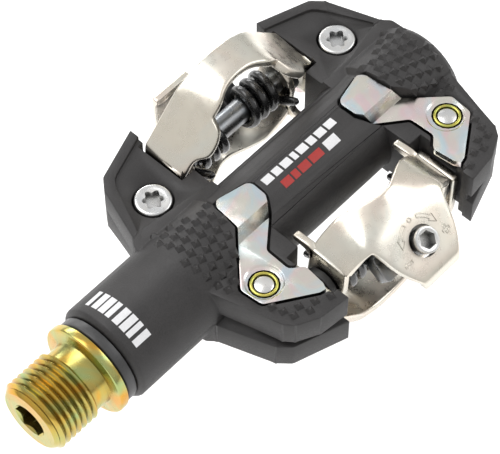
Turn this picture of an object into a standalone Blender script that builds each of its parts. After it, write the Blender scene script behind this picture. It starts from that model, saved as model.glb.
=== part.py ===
"""A clipless bicycle pedal with a cleat mechanism on both sides, in metres, +Z up.

The X axis is the spindle's axis. The origin is the centre of the spindle flange's face that
meets the crank, the crank thread runs to -X and the pedal body to +X. Side A of the platform
looks up (+Z) with its claw at +Y and its rear binding at -Y. Side B is side A turned half a
turn about the spindle. Each piece is one closed solid in an object of its own.
"""

import math

import bmesh
import bpy
from mathutils import Matrix, Vector

# --- driving sizes, in metres ---------------------------------------------------------------
GAP = 0.0003                  # clearance between pieces that touch
RUN = 0.0003                  # clearance between pieces that turn or slide on each other

# spindle
THREAD_R = 0.00713            # 9/16 inch pedal thread
THREAD_LENGTH = 0.0130
THREAD_CHAMFER = 0.0008
RELIEF_R = 0.0064
RELIEF_LENGTH = 0.0030
FLANGE_R = 0.00916
FLANGE_T = 0.0018
FLANGE_CHAMFER = 0.0004
SOCKET_AF = 0.0060            # hexagon socket, across flats
SOCKET_DEPTH = 0.0085
SEAL_LAND_R = 0.0042
SHAFT_R = 0.0035              # under the needle rollers
SPINDLE_SEAT_R = 0.0024       # under the ball bearings
SPINDLE_END_R = 0.0020

# barrel and cartridge
PLATFORM_X = 0.0555           # centre of the platform from the crank face
BARREL_START = 0.0043
BARREL_R = 0.00962
BARREL_CHAMFER = 0.0008
NECK_R = 0.0088               # barrel between the wings
HUB_R = 0.0098                # barrel where the wings join it
HUB_IN = 0.0200               # distance of the hub's inner step from the platform's centre
HUB_OUT = 0.0333
HUB_NOSE = 0.0345
BORE_R = 0.0062
BORE_DEPTH = 0.0640
COLLAR_R = 0.0087
COLLAR_START = 0.0021
COLLAR_LENGTH = 0.0090
COLLAR_WALL = 0.0009
COLLAR_LIP = 0.0019
NEEDLE_START = 0.0150
NEEDLE_LENGTH = 0.0120
NEEDLE_R = 0.0007
NEEDLE_COUNT = 14
CUP_WALL = 0.00045
BALL_BEARING_START = 0.0480
BALL_BEARING_WIDTH = 0.0040
BALL_R = 0.0011
BALL_COUNT = 9
RACE_WALL = 0.0006
CAGE_T = 0.0005               # wall of the cages that hold the rollers and the balls
NUT_AF = 0.0080
NUT_T = 0.0030
WASHER_T = 0.0008

# wings of the body, as distances from the platform's centre
WING_TOP = 0.0064
WING_STEP = 0.0008            # half height of the groove between the upper and lower shells
WING_INNER = 0.0148
BAY_START = 0.0125            # |y| where the mechanism bay begins
BAY_END = 0.0232
BAY_HALF = 0.0179
TIP_HALF = 0.0167
RECESS_FLOOR = 0.0056         # floor around the bolt heads
RIM = 0.0017                  # width of the raised rim round that floor

# bolts, clinch nuts and contact plates
BOLT_X = 0.02445
BOLT_Y = 0.01325
BOLT_R = 0.00185
BOLT_HEAD_R = 0.0035
BOLT_HEAD_T = 0.0017
BOLT_TOP = 0.0058
TORX_R = 0.0018
TORX_WAVE = 0.00028
TORX_DEPTH = 0.0010
CLINCH_R = 0.0026
CLINCH_TOP = 0.0063
CLINCH_LENGTH = 0.0040
PLATE_T = 0.0015
PAD_TOP = 0.0090
ARM_TOP = 0.0064
JOGGLE_HIGH_Y = -0.0033
JOGGLE_LOW_Y = -0.0047
PLATE_MARGIN = 0.0005         # gap between a plate's edge and its pocket

# mechanism
AXLE_Y = 0.0181               # distance of each binding axle from the spindle's axis
AXLE_R = 0.0023
AXLE_HALF = 0.0175
CLAW_T = 0.0015
CLAW_FLANGE = 0.0176          # outer face of the claw's upright flanges
CLAW_FRONT = 0.0223
CLAW_TOP = 0.0176
CLAW_TILT = 0.19              # slope of the claw's legs towards the rear
CLAW_FOOT = 0.0206
CLAW_FOOT_REAR = 0.0155
CLAW_FOOT_FRONT = 0.0207
BIND_T = 0.0015
BIND_HALF = 0.01405           # outer face of the binding's cheeks
BIND_REAR = 0.0232
BIND_TOP = 0.0133
EYE_R = 0.0042
TAIL_SCREW_Y = -0.0283
TAIL_SCREW_Z = 0.0079
TAIL_ANGLE = 36.0             # degrees
TAIL_T = 0.0016
TAIL_CURL = 0.0020
TAIL_LENGTH = 0.0072
FINGER_TIP = 0.0102
FINGER_TOP = 0.0073
FINGER_T = 0.0014
SCREW_HEAD_R = 0.0025
SCREW_HOLE_R = 0.00295
SCREW_COLLAR_R = 0.0036
SCREW_R = 0.0017
SCREW_LENGTH = 0.0092
SCREW_HEX_AF = 0.0030
TENSION_NUT_HALF = 0.0080
TENSION_NUT_WIDTH = 0.0052
TENSION_NUT_TOP = 0.0047      # below the tail plate's upper face
TENSION_NUT_T = 0.0030
SPRING_WIRE = 0.0009          # radius of the wire
SPRING_PITCH = 0.0021
SPRING_TURNS = 3.75
SPRING_IN = 0.0034            # distance of the inner end turn from the platform's centre
SPRING_INNER_LEG = 0.0050
SPRING_OUTER_LEG = 0.0062
BUSH_R = 0.0036
BUSH_WIDTH = 0.0014

ROUND_STEPS = 30
SMALL_STEPS = 16

# Outlines are (distance outwards from the platform's centre, y) on side A, for one wing.
WING_OUTLINE = (
    (WING_INNER, -BAY_START), (BAY_HALF, -BAY_START), (BAY_HALF, -BAY_END),
    (TIP_HALF, -BAY_END), (TIP_HALF, -0.0258), (0.0229, -0.0251), (0.0271, -0.0230),
    (0.0285, -0.0212), (0.0298, -0.0162), (0.0320, -0.0084), (0.0340, -0.0004),
    (HUB_NOSE, 0.0039), (0.0343, 0.0084), (0.0330, 0.0099), (0.0293, 0.0205),
    (0.0273, 0.0228), (TIP_HALF, 0.0264), (TIP_HALF, BAY_END), (BAY_HALF, BAY_END),
    (BAY_HALF, BAY_START), (WING_INNER, BAY_START),
)
GROOVE_OUTLINE = (
    (WING_INNER, -BAY_START), (BAY_HALF, -BAY_START), (BAY_HALF, -BAY_END),
    (TIP_HALF, -BAY_END), (TIP_HALF, -0.0249), (0.0222, -0.0240), (0.0262, -0.0219),
    (0.0276, -0.0186), (0.0304, -0.0090), (0.0332, 0.0), (0.0304, 0.0090),
    (0.0276, 0.0186), (0.0262, 0.0219), (0.0222, 0.0240), (TIP_HALF, 0.0249),
    (TIP_HALF, BAY_END), (BAY_HALF, BAY_END), (BAY_HALF, BAY_START), (WING_INNER, BAY_START),
)
RECESS_OUTLINE = (
    (0.0130, 0.0076), (0.0307, 0.0099), (0.0316, 0.0101), (0.0293 - RIM, 0.0188),
    (0.0262, 0.0211), (0.0130, 0.0256),
)
PLATE_OUTLINE = (
    (0.0124, 0.0020), (0.01175, 0.0011), (0.0119, -0.0021), (0.0137, -0.0046),
    (0.0192, -0.0090), (0.0194, -0.0143), (0.0170, -0.0162), (0.0177, -0.0226),
    (0.0278, -0.0159), (0.0282, -0.0112), (0.0202, -0.0032), (0.0197, 0.0023),
    (0.01875, 0.00345),
)
# The claw's rear edge from above, and its arch from the front, both as one half.
CLAW_REAR_EDGE = (
    (0.0, 0.0153), (0.0030, 0.0151), (0.0045, 0.0146), (0.0061, 0.0139), (0.0077, 0.0136),
    (0.0088, 0.0139), (0.0089, 0.0127), (0.0093, 0.0116), (0.0103, 0.0106), (0.0121, 0.0104),
    (0.0132, 0.0107), (0.0137, 0.0119), (0.0145, 0.0129), (0.0230, 0.0129),
)
CLAW_ARCH = (
    (0.0, CLAW_TOP), (0.0026, 0.0174), (0.0051, 0.0168), (0.0075, 0.0157), (0.00985, 0.0141),
    (0.01255, 0.0116), (0.0159, 0.0084), (0.0171, 0.0069), (CLAW_FLANGE, 0.0055),
)
# The binding's lip from above, and its strap from the front, both as one half.
LIP_EDGE = (
    (0.0, -0.0186), (0.0020, -0.0184), (0.0038, -0.0175), (0.0054, -0.0167),
    (0.0073, -0.0156), (0.0092, -0.0152), (0.0118, -0.0147), (0.0200, -0.0144),
)
BIND_STRAP = (
    (0.0, BIND_TOP), (0.0050, 0.0130), (0.0078, 0.0122), (0.0094, 0.0110),
    (0.0132, 0.0072), (BIND_HALF, 0.0060),
)
TAIL_OUTLINE = (
    (0.0098, 0.0072), (0.0090, 0.0032), (0.0079, 0.0017), (0.0067, -0.0011),
    (0.0046, -0.0066), (0.0035, -0.0092),
)

COLOURS = {
    "composite": ((0.060, 0.057, 0.057), 0.60, 0.0),
    "nickel": ((0.78, 0.74, 0.68), 0.20, 1.0),
    "plate": ((0.80, 0.79, 0.74), 0.22, 1.0),
    "bolt": ((0.80, 0.80, 0.80), 0.28, 1.0),
    "chromate": ((0.80, 0.66, 0.30), 0.25, 1.0),
    "clinch": ((0.70, 0.66, 0.22), 0.30, 1.0),
    "spring": ((0.03, 0.03, 0.03), 0.35, 0.6),
    "dark_steel": ((0.20, 0.21, 0.21), 0.40, 1.0),
    "bearing_steel": ((0.65, 0.65, 0.66), 0.20, 1.0),
    "rubber": ((0.04, 0.04, 0.04), 0.70, 0.0),
    "bush": ((0.10, 0.10, 0.10), 0.55, 0.0),
}


# --- scene helpers --------------------------------------------------------------------------
def clear_scene():
    for obj in list(bpy.data.objects):
        bpy.data.objects.remove(obj, do_unlink=True)


def new_collection(name):
    collection = bpy.data.collections.new(name)
    bpy.context.scene.collection.children.link(collection)
    return collection


def new_group(name):
    """A collection of cutters that one Boolean uses together."""
    group = bpy.data.collections.new(name)
    CUTTERS.children.link(group)
    return group


def material(name):
    colour, roughness, metallic = COLOURS[name]
    made = bpy.data.materials.get(name) or bpy.data.materials.new(name)
    made.use_nodes = True
    shader = made.node_tree.nodes["Principled BSDF"]
    shader.inputs["Base Color"].default_value = (*colour, 1.0)
    shader.inputs["Roughness"].default_value = roughness
    shader.inputs["Metallic"].default_value = metallic
    return made


def add_object(name, mesh, collection, look=None, parent=None):
    obj = bpy.data.objects.new(name, mesh)
    collection.objects.link(obj)
    if look:
        mesh.materials.clear()
        mesh.materials.append(material(look))
    obj.parent = parent
    if collection is CUTTERS:
        obj.hide_render = True
        obj.display_type = "WIRE"
    return obj


def combine(obj, other, operation, solver="EXACT"):
    """Adds a Boolean that unites, cuts or intersects obj with another object."""
    modifier = obj.modifiers.new(f"{operation.lower()}_{other.name}", "BOOLEAN")
    modifier.operation = operation
    modifier.solver = solver
    modifier.object = other


def combine_all(obj, collection, operation):
    modifier = obj.modifiers.new(f"{operation.lower()}_{collection.name}", "BOOLEAN")
    modifier.operation = operation
    modifier.solver = "EXACT"
    modifier.operand_type = "COLLECTION"
    modifier.collection = collection


def baked(obj, name, collection, look=None, parent=None, keep_place=True):
    """A new plain mesh object with obj's evaluated shape. The old object is removed."""
    bpy.context.view_layer.update()
    graph = bpy.context.evaluated_depsgraph_get()
    mesh = bpy.data.meshes.new_from_object(obj.evaluated_get(graph))
    mesh.name = name
    if keep_place:
        mesh.transform(obj.matrix_world)
    bpy.data.objects.remove(obj, do_unlink=True)
    weld(mesh)
    return add_object(name, mesh, collection, look, parent)


def weld(mesh):
    bm = bmesh.new()
    bm.from_mesh(mesh)
    bmesh.ops.remove_doubles(bm, verts=bm.verts, dist=0.000002)
    bm.to_mesh(mesh)
    bm.free()


# --- outlines -------------------------------------------------------------------------------
def counter_clockwise(points):
    pairs = zip(points, points[1:] + points[:1])
    area = sum(a[0] * b[1] - b[0] * a[1] for a, b in pairs)
    return list(points) if area > 0 else list(reversed(points))


def rounded(points, radius, steps=2, sharp=None):
    """The closed outline with each corner replaced by an arc, limited by the edges' lengths.

    sharp is a test that picks the corners that stay as they are.
    """
    result = []
    count = len(points)
    for i in range(count):
        corner = Vector(points[i])
        before = Vector(points[i - 1]) - corner
        after = Vector(points[(i + 1) % count]) - corner
        angle = before.angle(after)
        if math.pi - angle < math.radians(12.0) or (sharp and sharp(corner)):
            result.append(tuple(corner))
            continue
        reach = min(radius / math.tan(angle / 2), 0.45 * before.length, 0.45 * after.length)
        start = corner + before.normalized() * reach
        end = corner + after.normalized() * reach
        for k in range(steps + 1):
            t = k / steps
            point = (1 - t) ** 2 * start + 2 * t * (1 - t) * corner + t ** 2 * end
            result.append(tuple(point))
    return result


def mirrored_half(half):
    """A left-right symmetric open line from one half that starts on the middle."""
    return [(-x, y) for x, y in reversed(half[1:])] + list(half)


def offset_closed(points, distance):
    """The closed counter-clockwise outline moved outwards by a distance."""
    result = []
    count = len(points)
    for i in range(count):
        a = Vector(points[i - 1])
        b = Vector(points[i])
        c = Vector(points[(i + 1) % count])
        first = (b - a).normalized()
        second = (c - b).normalized()
        n1 = Vector((first.y, -first.x))
        n2 = Vector((second.y, -second.x))
        bisector = (n1 + n2).normalized()
        stretch = min(1.0 / max(bisector.dot(n1), 0.3), 1.8)
        result.append(tuple(b + bisector * distance * stretch))
    return result


def offset_open(points, distance):
    """The open line moved to its right-hand side by a distance."""
    result = []
    last = len(points) - 1
    for i in range(last + 1):
        b = Vector(points[i])
        first = (b - Vector(points[i - 1])).normalized() if i else None
        second = (Vector(points[i + 1]) - b).normalized() if i < last else None
        first = first or second
        second = second or first
        n1 = Vector((first.y, -first.x))
        n2 = Vector((second.y, -second.x))
        bisector = (n1 + n2).normalized()
        result.append(tuple(b + bisector * distance / max(bisector.dot(n1), 0.5)))
    return result


def wing_side(points, side):
    """An outline given outwards from the platform's centre, placed on wing side -1 or 1."""
    return [(PLATFORM_X + side * u, y) for u, y in points]


# --- solids ---------------------------------------------------------------------------------
def slab(name, outline, low, high, collection, look=None, parent=None, matrix=None):
    """A flat outline in XY, filled and made solid from z = low to z = high."""
    curve = bpy.data.curves.new(name, "CURVE")
    curve.dimensions = "2D"
    curve.fill_mode = "BOTH"
    curve.extrude = (high - low) / 2
    points = counter_clockwise(list(outline))
    spline = curve.splines.new("POLY")
    spline.points.add(len(points) - 1)
    for point, (x, y) in zip(spline.points, points):
        point.co = (x, y, 0.0, 1.0)
    spline.use_cyclic_u = True
    flat = bpy.data.objects.new(name + "_outline", curve)
    bpy.context.scene.collection.objects.link(flat)
    flat.matrix_world = (matrix or Matrix()) @ Matrix.Translation((0, 0, (low + high) / 2))
    made = baked(flat, name, collection, look, parent)
    bm = bmesh.new()
    bm.from_mesh(made.data)
    bmesh.ops.dissolve_limit(bm, angle_limit=0.001, verts=bm.verts, edges=bm.edges)
    bmesh.ops.recalc_face_normals(bm, faces=bm.faces)
    bm.to_mesh(made.data)
    bm.free()
    return made


# A slab's local axes for an outline drawn in XZ (thickness along -Y) and in YZ (along X).
IN_XZ = Matrix.Rotation(math.radians(90.0), 4, "X")
IN_YZ = Matrix(((0, 0, 1, 0), (1, 0, 0, 0), (0, 1, 0, 0), (0, 0, 0, 1)))


def turned(name, profile, collection, look=None, parent=None, steps=ROUND_STEPS, ring=False):
    """A solid of revolution about X from (x, radius) points, listed from its high-x end.

    A ring's profile runs down its outer side and back up its inner side.
    """
    mesh = bpy.data.meshes.new(name)
    bm = bmesh.new()
    verts = [bm.verts.new((radius, 0.0, x)) for x, radius in profile]
    for a, b in zip(verts, verts[1:]):
        bm.edges.new((a, b))
    if ring:
        bm.edges.new((verts[-1], verts[0]))
    bm.to_mesh(mesh)
    bm.free()
    obj = add_object(name, mesh, collection, look, parent)
    obj.rotation_euler = (0.0, math.radians(90.0), 0.0)
    screw = obj.modifiers.new("turn", "SCREW")
    screw.axis = "Z"
    screw.steps = steps
    screw.render_steps = steps
    screw.use_merge_vertices = True
    screw.merge_threshold = 0.00001
    screw.use_smooth_shade = True
    return obj


def rod(name, radius, low, high, collection, at=(0.0, 0.0), axis="Z", steps=SMALL_STEPS):
    """A plain round bar between two heights along X or Z, used for holes."""
    bpy.ops.mesh.primitive_cylinder_add(vertices=steps, radius=radius, depth=high - low)
    obj = bpy.context.object
    mesh = obj.data
    mesh.name = name
    middle = (low + high) / 2
    if axis == "Z":
        mesh.transform(Matrix.Translation((at[0], at[1], middle)))
    else:
        mesh.transform(Matrix.Rotation(math.radians(90.0), 4, "Y"))
        mesh.transform(Matrix.Translation((middle, at[0], at[1])))
    bpy.data.objects.remove(obj, do_unlink=True)
    return add_object(name, mesh, collection)


def hexagon(flats, turn=0.0):
    corner = flats / math.sqrt(3.0)
    angles = [math.radians(60.0 * i) + turn for i in range(6)]
    return [(corner * math.cos(a), corner * math.sin(a)) for a in angles]


def tube(name, points, radius, collection, look, parent=None):
    """A wire with filled ends along the points."""
    curve = bpy.data.curves.new(name, "CURVE")
    curve.dimensions = "3D"
    curve.bevel_depth = radius
    curve.bevel_resolution = 2
    curve.use_fill_caps = True
    spline = curve.splines.new("POLY")
    spline.points.add(len(points) - 1)
    for point, place in zip(spline.points, points):
        point.co = (*place, 1.0)
    wire = bpy.data.objects.new(name, curve)
    collection.objects.link(wire)
    curve.materials.append(material(look))
    wire.parent = parent
    return wire


# --- spindle and bearings -------------------------------------------------------------------
def build_spindle():
    ball_end = BALL_BEARING_START + 2 * BALL_BEARING_WIDTH + GAP
    end = ball_end + WASHER_T + NUT_T + 3 * GAP + 0.0012
    taper_end = BALL_BEARING_START - GAP
    profile = [
        (end, 0.0), (end, SPINDLE_END_R - 0.0004), (end - 0.0004, SPINDLE_END_R),
        (ball_end, SPINDLE_END_R), (ball_end, SPINDLE_SEAT_R),
        (taper_end, SPINDLE_SEAT_R), (taper_end, SPINDLE_SEAT_R + 0.0008),
        (NEEDLE_START + NEEDLE_LENGTH + 0.0015, SHAFT_R), (NEEDLE_START - 0.0010, SHAFT_R),
        (NEEDLE_START - 0.0016, SEAL_LAND_R - 0.0006),
        (COLLAR_START + COLLAR_LENGTH, SEAL_LAND_R - 0.0006),
        (COLLAR_START + COLLAR_LENGTH - 0.0008, SEAL_LAND_R), (FLANGE_T, SEAL_LAND_R),
        (FLANGE_T, FLANGE_R - FLANGE_CHAMFER), (FLANGE_T - FLANGE_CHAMFER, FLANGE_R),
        (FLANGE_CHAMFER, FLANGE_R), (0.0, FLANGE_R - FLANGE_CHAMFER), (0.0, RELIEF_R),
        (-RELIEF_LENGTH + 0.0006, RELIEF_R), (-RELIEF_LENGTH, THREAD_R),
        (-THREAD_LENGTH + THREAD_CHAMFER, THREAD_R),
        (-THREAD_LENGTH, THREAD_R - THREAD_CHAMFER), (-THREAD_LENGTH, 0.0),
    ]
    spindle = turned("spindle", profile, PARTS, "chromate")
    socket = slab("spindle_socket", hexagon(SOCKET_AF), -0.001, SOCKET_DEPTH, CUTTERS,
                  matrix=Matrix.Translation((-THREAD_LENGTH, 0, 0)) @ IN_YZ)
    combine(spindle, socket, "DIFFERENCE")


def build_cartridge():
    """The dark collar that screws into the barrel, its lip seal, and the needle bearing."""
    start = COLLAR_START
    lip_end = BARREL_START - GAP
    body_end = start + COLLAR_LENGTH
    outer = BORE_R - GAP
    inner = outer - COLLAR_WALL
    groove = start + COLLAR_LIP
    turned("cartridge_collar", [
        (body_end, inner), (body_end, outer), (lip_end, outer), (lip_end, COLLAR_R),
        (start + 0.0002, COLLAR_R), (start, COLLAR_R - 0.0002), (start, outer - 0.0004),
        (groove, outer - 0.0004), (groove, inner)], PARTS, "dark_steel", ring=True)
    seal_outer = outer - 0.0004 - GAP
    turned("lip_seal", [
        (groove - GAP, SEAL_LAND_R + RUN), (groove - GAP, seal_outer),
        (start + GAP, seal_outer), (start + GAP, SEAL_LAND_R + 0.0006),
        (start + 0.0009, SEAL_LAND_R + RUN)], PARTS, "rubber", ring=True, steps=20)
    cup_start = NEEDLE_START - CUP_WALL - GAP
    cup_end = NEEDLE_START + NEEDLE_LENGTH + CUP_WALL + GAP
    cup_lip = outer - CUP_WALL - 1.2 * NEEDLE_R
    turned("needle_cup", [
        (cup_end, cup_lip), (cup_end, outer), (cup_start, outer), (cup_start, cup_lip),
        (cup_start + CUP_WALL, cup_lip), (cup_start + CUP_WALL, outer - CUP_WALL),
        (cup_end - CUP_WALL, outer - CUP_WALL), (cup_end - CUP_WALL, cup_lip)],
        PARTS, "bearing_steel", ring=True, steps=20)
    ring_r = SHAFT_R + GAP + NEEDLE_R
    rollers = new_group("needle_roller_set")
    for i in range(NEEDLE_COUNT):
        angle = 2 * math.pi * i / NEEDLE_COUNT
        place = (ring_r * math.cos(angle), ring_r * math.sin(angle))
        rollers.objects.link(rod(f"roller_{i}", NEEDLE_R, NEEDLE_START + CAGE_T / 2,
                                 NEEDLE_START + NEEDLE_LENGTH - CAGE_T / 2, CUTTERS,
                                 at=place, axis="X", steps=6))
    far = NEEDLE_START + NEEDLE_LENGTH
    rollers.objects.link(turned("far_cage_ring", [
        (far, ring_r - CAGE_T / 2), (far, ring_r + CAGE_T / 2),
        (far - CAGE_T, ring_r + CAGE_T / 2), (far - CAGE_T, ring_r - CAGE_T / 2)],
        CUTTERS, ring=True, steps=14))
    cage = turned("needle_roller_cage", [
        (NEEDLE_START + CAGE_T, ring_r - CAGE_T / 2), (NEEDLE_START + CAGE_T, ring_r + CAGE_T / 2),
        (NEEDLE_START, ring_r + CAGE_T / 2), (NEEDLE_START, ring_r - CAGE_T / 2)],
        PARTS, "bearing_steel", ring=True, steps=14)
    combine_all(cage, rollers, "UNION")
    turned("spacer_sleeve", [
        (BALL_BEARING_START - GAP, outer - 0.0009), (BALL_BEARING_START - GAP, outer),
        (cup_end + GAP, outer), (cup_end + GAP, outer - 0.0009)],
        PARTS, "dark_steel", ring=True, steps=20)


def build_ball_bearing(index, start):
    outer = BORE_R - GAP
    end = start + BALL_BEARING_WIDTH - GAP
    inner_out = SPINDLE_SEAT_R + GAP + RACE_WALL
    outer_in = outer - RACE_WALL
    turned(f"bearing_{index}_outer_ring", [
        (end, outer_in), (end, outer), (start, outer), (start, outer_in)],
        PARTS, "bearing_steel", ring=True, steps=20)
    turned(f"bearing_{index}_inner_ring", [
        (end, SPINDLE_SEAT_R + GAP), (end, inner_out), (start, inner_out),
        (start, SPINDLE_SEAT_R + GAP)], PARTS, "bearing_steel", ring=True, steps=16)
    centre_r = (inner_out + outer_in) / 2
    radius = min(BALL_R, (outer_in - inner_out) / 2 - GAP)
    middle = (start + end) / 2
    balls = new_group(f"bearing_{index}_ball_set")
    for i in range(BALL_COUNT):
        angle = 2 * math.pi * i / BALL_COUNT
        bpy.ops.mesh.primitive_uv_sphere_add(segments=7, ring_count=4, radius=radius)
        mesh = bpy.context.object.data
        bpy.data.objects.remove(bpy.context.object, do_unlink=True)
        mesh.transform(Matrix.Translation((
            middle, centre_r * math.cos(angle), centre_r * math.sin(angle))))
        balls.objects.link(add_object(f"ball_{index}_{i}", mesh, CUTTERS))
    cage = turned(f"bearing_{index}_ball_cage", [
        (middle + CAGE_T, centre_r - CAGE_T / 2), (middle + CAGE_T, centre_r + CAGE_T / 2),
        (middle - CAGE_T, centre_r + CAGE_T / 2), (middle - CAGE_T, centre_r - CAGE_T / 2)],
        PARTS, "bearing_steel", ring=True, steps=18)
    combine_all(cage, balls, "UNION")


def build_spindle_end():
    start = BALL_BEARING_START + 2 * BALL_BEARING_WIDTH + GAP + GAP
    bore = SPINDLE_END_R + GAP
    turned("spindle_washer", [
        (start + WASHER_T, bore), (start + WASHER_T, 0.0044), (start, 0.0044), (start, bore)],
        PARTS, "dark_steel", ring=True, steps=16)
    nut_start = start + WASHER_T + GAP
    nut = slab("spindle_nut", hexagon(NUT_AF), nut_start, nut_start + NUT_T, PARTS,
               "dark_steel", matrix=IN_YZ)
    combine(nut, rod("spindle_nut_bore", bore, nut_start - 0.001, nut_start + NUT_T + 0.001,
                     CUTTERS, axis="X"), "DIFFERENCE")


# --- body -----------------------------------------------------------------------------------
def barrel_profile():
    start = BARREL_START
    inner_step = PLATFORM_X - HUB_OUT
    left_in = PLATFORM_X - HUB_IN
    right_in = PLATFORM_X + HUB_IN
    nose = PLATFORM_X + HUB_NOSE - 0.0004
    return [
        (nose, 0.0), (nose, HUB_R - 0.0022), (nose - 0.0007, HUB_R - 0.0007),
        (PLATFORM_X + HUB_OUT - 0.0010, HUB_R), (right_in, HUB_R),
        (right_in - 0.0010, NECK_R), (left_in + 0.0010, NECK_R), (left_in, HUB_R),
        (inner_step + 0.0003, HUB_R), (inner_step, BARREL_R),
        (start + BARREL_CHAMFER, BARREL_R), (start, BARREL_R - BARREL_CHAMFER), (start, 0.0),
    ]


def joggled(obj, shift):
    """Steps the part of a plate, or of its pocket, that lies under the cleat up to pad height."""
    bm = bmesh.new()
    bm.from_mesh(obj.data)
    for y in (JOGGLE_HIGH_Y + shift, JOGGLE_LOW_Y + shift):
        geometry = bm.verts[:] + bm.edges[:] + bm.faces[:]
        bmesh.ops.bisect_plane(bm, geom=geometry, plane_co=(0, y, 0), plane_no=(0, 1, 0))
    for vert in bm.verts:
        rise = (vert.co.y - shift - JOGGLE_LOW_Y) / (JOGGLE_HIGH_Y - JOGGLE_LOW_Y)
        vert.co.z += (PAD_TOP - ARM_TOP) * min(max(rise, 0.0), 1.0)
    bm.to_mesh(obj.data)
    bm.free()


def plate_pocket(side):
    """A cutter for the pocket under one of side A's contact plates."""
    outline = counter_clockwise(wing_side(PLATE_OUTLINE, side))
    room = offset_closed(rounded(outline, 0.0012), PLATE_MARGIN)
    pocket = slab("plate_pocket", room, ARM_TOP - PLATE_T - GAP, 0.012, CUTTERS)
    joggled(pocket, GAP)
    return pocket


def front_recess(side):
    outline = rounded(wing_side(RECESS_OUTLINE, side), 0.0030)
    return slab("bolt_recess", outline, RECESS_FLOOR, 0.012, CUTTERS)


def fastener_room(side):
    """The hole for side A's bolt, with its counterbore above and its clinch nut below."""
    at = (PLATFORM_X + side * BOLT_X, BOLT_Y)
    head_floor = BOLT_TOP - BOLT_HEAD_T - GAP
    nut_low = -(CLINCH_TOP - CLINCH_LENGTH) + GAP
    return [
        rod("bolt_hole", BOLT_R + GAP, -0.02, 0.02, CUTTERS, at),
        rod("head_room", BOLT_HEAD_R + 0.0004, head_floor, 0.02, CUTTERS, at, steps=24),
        rod("nut_room", CLINCH_R + GAP, -0.02, nut_low, CUTTERS, at),
    ]


def foot_room(side):
    """The recess on side B for one foot of side A's claw."""
    xs = sorted((PLATFORM_X + side * (BAY_HALF - 0.001), PLATFORM_X + side * (CLAW_FOOT + GAP)))
    outline = [(xs[0], CLAW_FOOT_REAR - GAP), (xs[1], CLAW_FOOT_REAR - GAP),
               (xs[1], CLAW_FOOT_FRONT + GAP), (xs[0], CLAW_FOOT_FRONT + GAP)]
    top = -(ARM_TOP - PLATE_T - GAP) + CLAW_T + 2 * GAP
    return slab("foot_room", outline, -0.0075, top, CUTTERS)


def in_bay(corner):
    return abs(corner.x - PLATFORM_X) < BAY_HALF + GAP


def half_turned(obj):
    """Turns a cutter's mesh copy half a turn about the spindle, for side B."""
    copy = obj.copy()
    copy.data = obj.data.copy()
    copy.data.transform(Matrix.Rotation(math.pi, 4, "X"))
    CUTTERS.objects.link(copy)
    return copy


def build_body():
    body = turned("body", barrel_profile(), PARTS, "composite", steps=40)
    shells = []
    rooms = [rod("bore", BORE_R, 0.0, BORE_DEPTH, CUTTERS, axis="X", steps=ROUND_STEPS)]
    for side in (-1, 1):
        upper = rounded(wing_side(WING_OUTLINE, side), 0.0014, sharp=in_bay)
        middle = rounded(wing_side(GROOVE_OUTLINE, side), 0.0010, sharp=in_bay)
        shell = slab("upper_shell", upper, WING_STEP, WING_TOP, CUTTERS)
        wing = slab("groove_wall", middle, -WING_STEP - 0.0004, WING_STEP + 0.0004, CUTTERS)
        shells += [shell, half_turned(shell), wing]
        cutters = [plate_pocket(side), front_recess(side), foot_room(side)]
        cutters += fastener_room(side)
        rooms += cutters + [half_turned(cutter) for cutter in cutters]
    for shell in shells:
        combine(body, shell, "UNION", "MANIFOLD")
    for room in rooms:
        combine(body, room, "DIFFERENCE", "MANIFOLD")


# --- plates and fasteners -------------------------------------------------------------------
def contact_plate(name, side, parent):
    outline = rounded(counter_clockwise(wing_side(PLATE_OUTLINE, side)), 0.0012)
    plate = slab(name, outline, ARM_TOP - PLATE_T, ARM_TOP, PARTS, "plate", parent)
    joggled(plate, 0.0)
    at = (PLATFORM_X + side * BOLT_X, -BOLT_Y)
    hole = rod(name + "_hole", CLINCH_R + GAP, 0.0, 0.02, CUTTERS, at)
    hole.parent = parent
    combine(plate, hole, "DIFFERENCE")


def body_bolt(name, side, parent):
    """A bolt through one wing, with a six-lobed recess in its head."""
    lobes = []
    for i in range(18):
        angle = 2 * math.pi * i / 18
        radius = TORX_R + TORX_WAVE * math.cos(6 * angle)
        lobes.append((radius * math.cos(angle), radius * math.sin(angle)))
    tip = -CLINCH_TOP + 0.0001
    place = Matrix.Translation((PLATFORM_X + side * BOLT_X, BOLT_Y, 0.0))
    bolt = turned(name + "_blank", [
        (BOLT_TOP, 0.0), (BOLT_TOP, BOLT_HEAD_R - 0.0003), (BOLT_TOP - 0.0003, BOLT_HEAD_R),
        (BOLT_TOP - BOLT_HEAD_T, BOLT_HEAD_R), (BOLT_TOP - BOLT_HEAD_T, BOLT_R),
        (tip + 0.0002, BOLT_R), (tip, BOLT_R - 0.0002), (tip, 0.0)], CUTTERS, steps=20)
    bolt.matrix_world = place
    recess = slab(name + "_lobes", lobes, BOLT_TOP - TORX_DEPTH, BOLT_TOP + 0.001, CUTTERS,
                  matrix=place)
    combine(bolt, recess, "DIFFERENCE")
    baked(bolt, name, PARTS, "bolt", parent)


def clinch_nut(name, side, parent):
    """A round nut pressed into a contact plate, for the bolt that comes from the other side."""
    low = CLINCH_TOP - CLINCH_LENGTH
    nut = turned(name + "_blank", [
        (CLINCH_TOP, BOLT_R + GAP), (CLINCH_TOP, CLINCH_R - 0.0003),
        (CLINCH_TOP - 0.0003, CLINCH_R), (low, CLINCH_R), (low, BOLT_R + GAP)],
        CUTTERS, ring=True, steps=18)
    nut.matrix_world = Matrix.Translation((PLATFORM_X + side * BOLT_X, -BOLT_Y, 0.0))
    baked(nut, name, PARTS, "clinch", parent)


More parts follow.
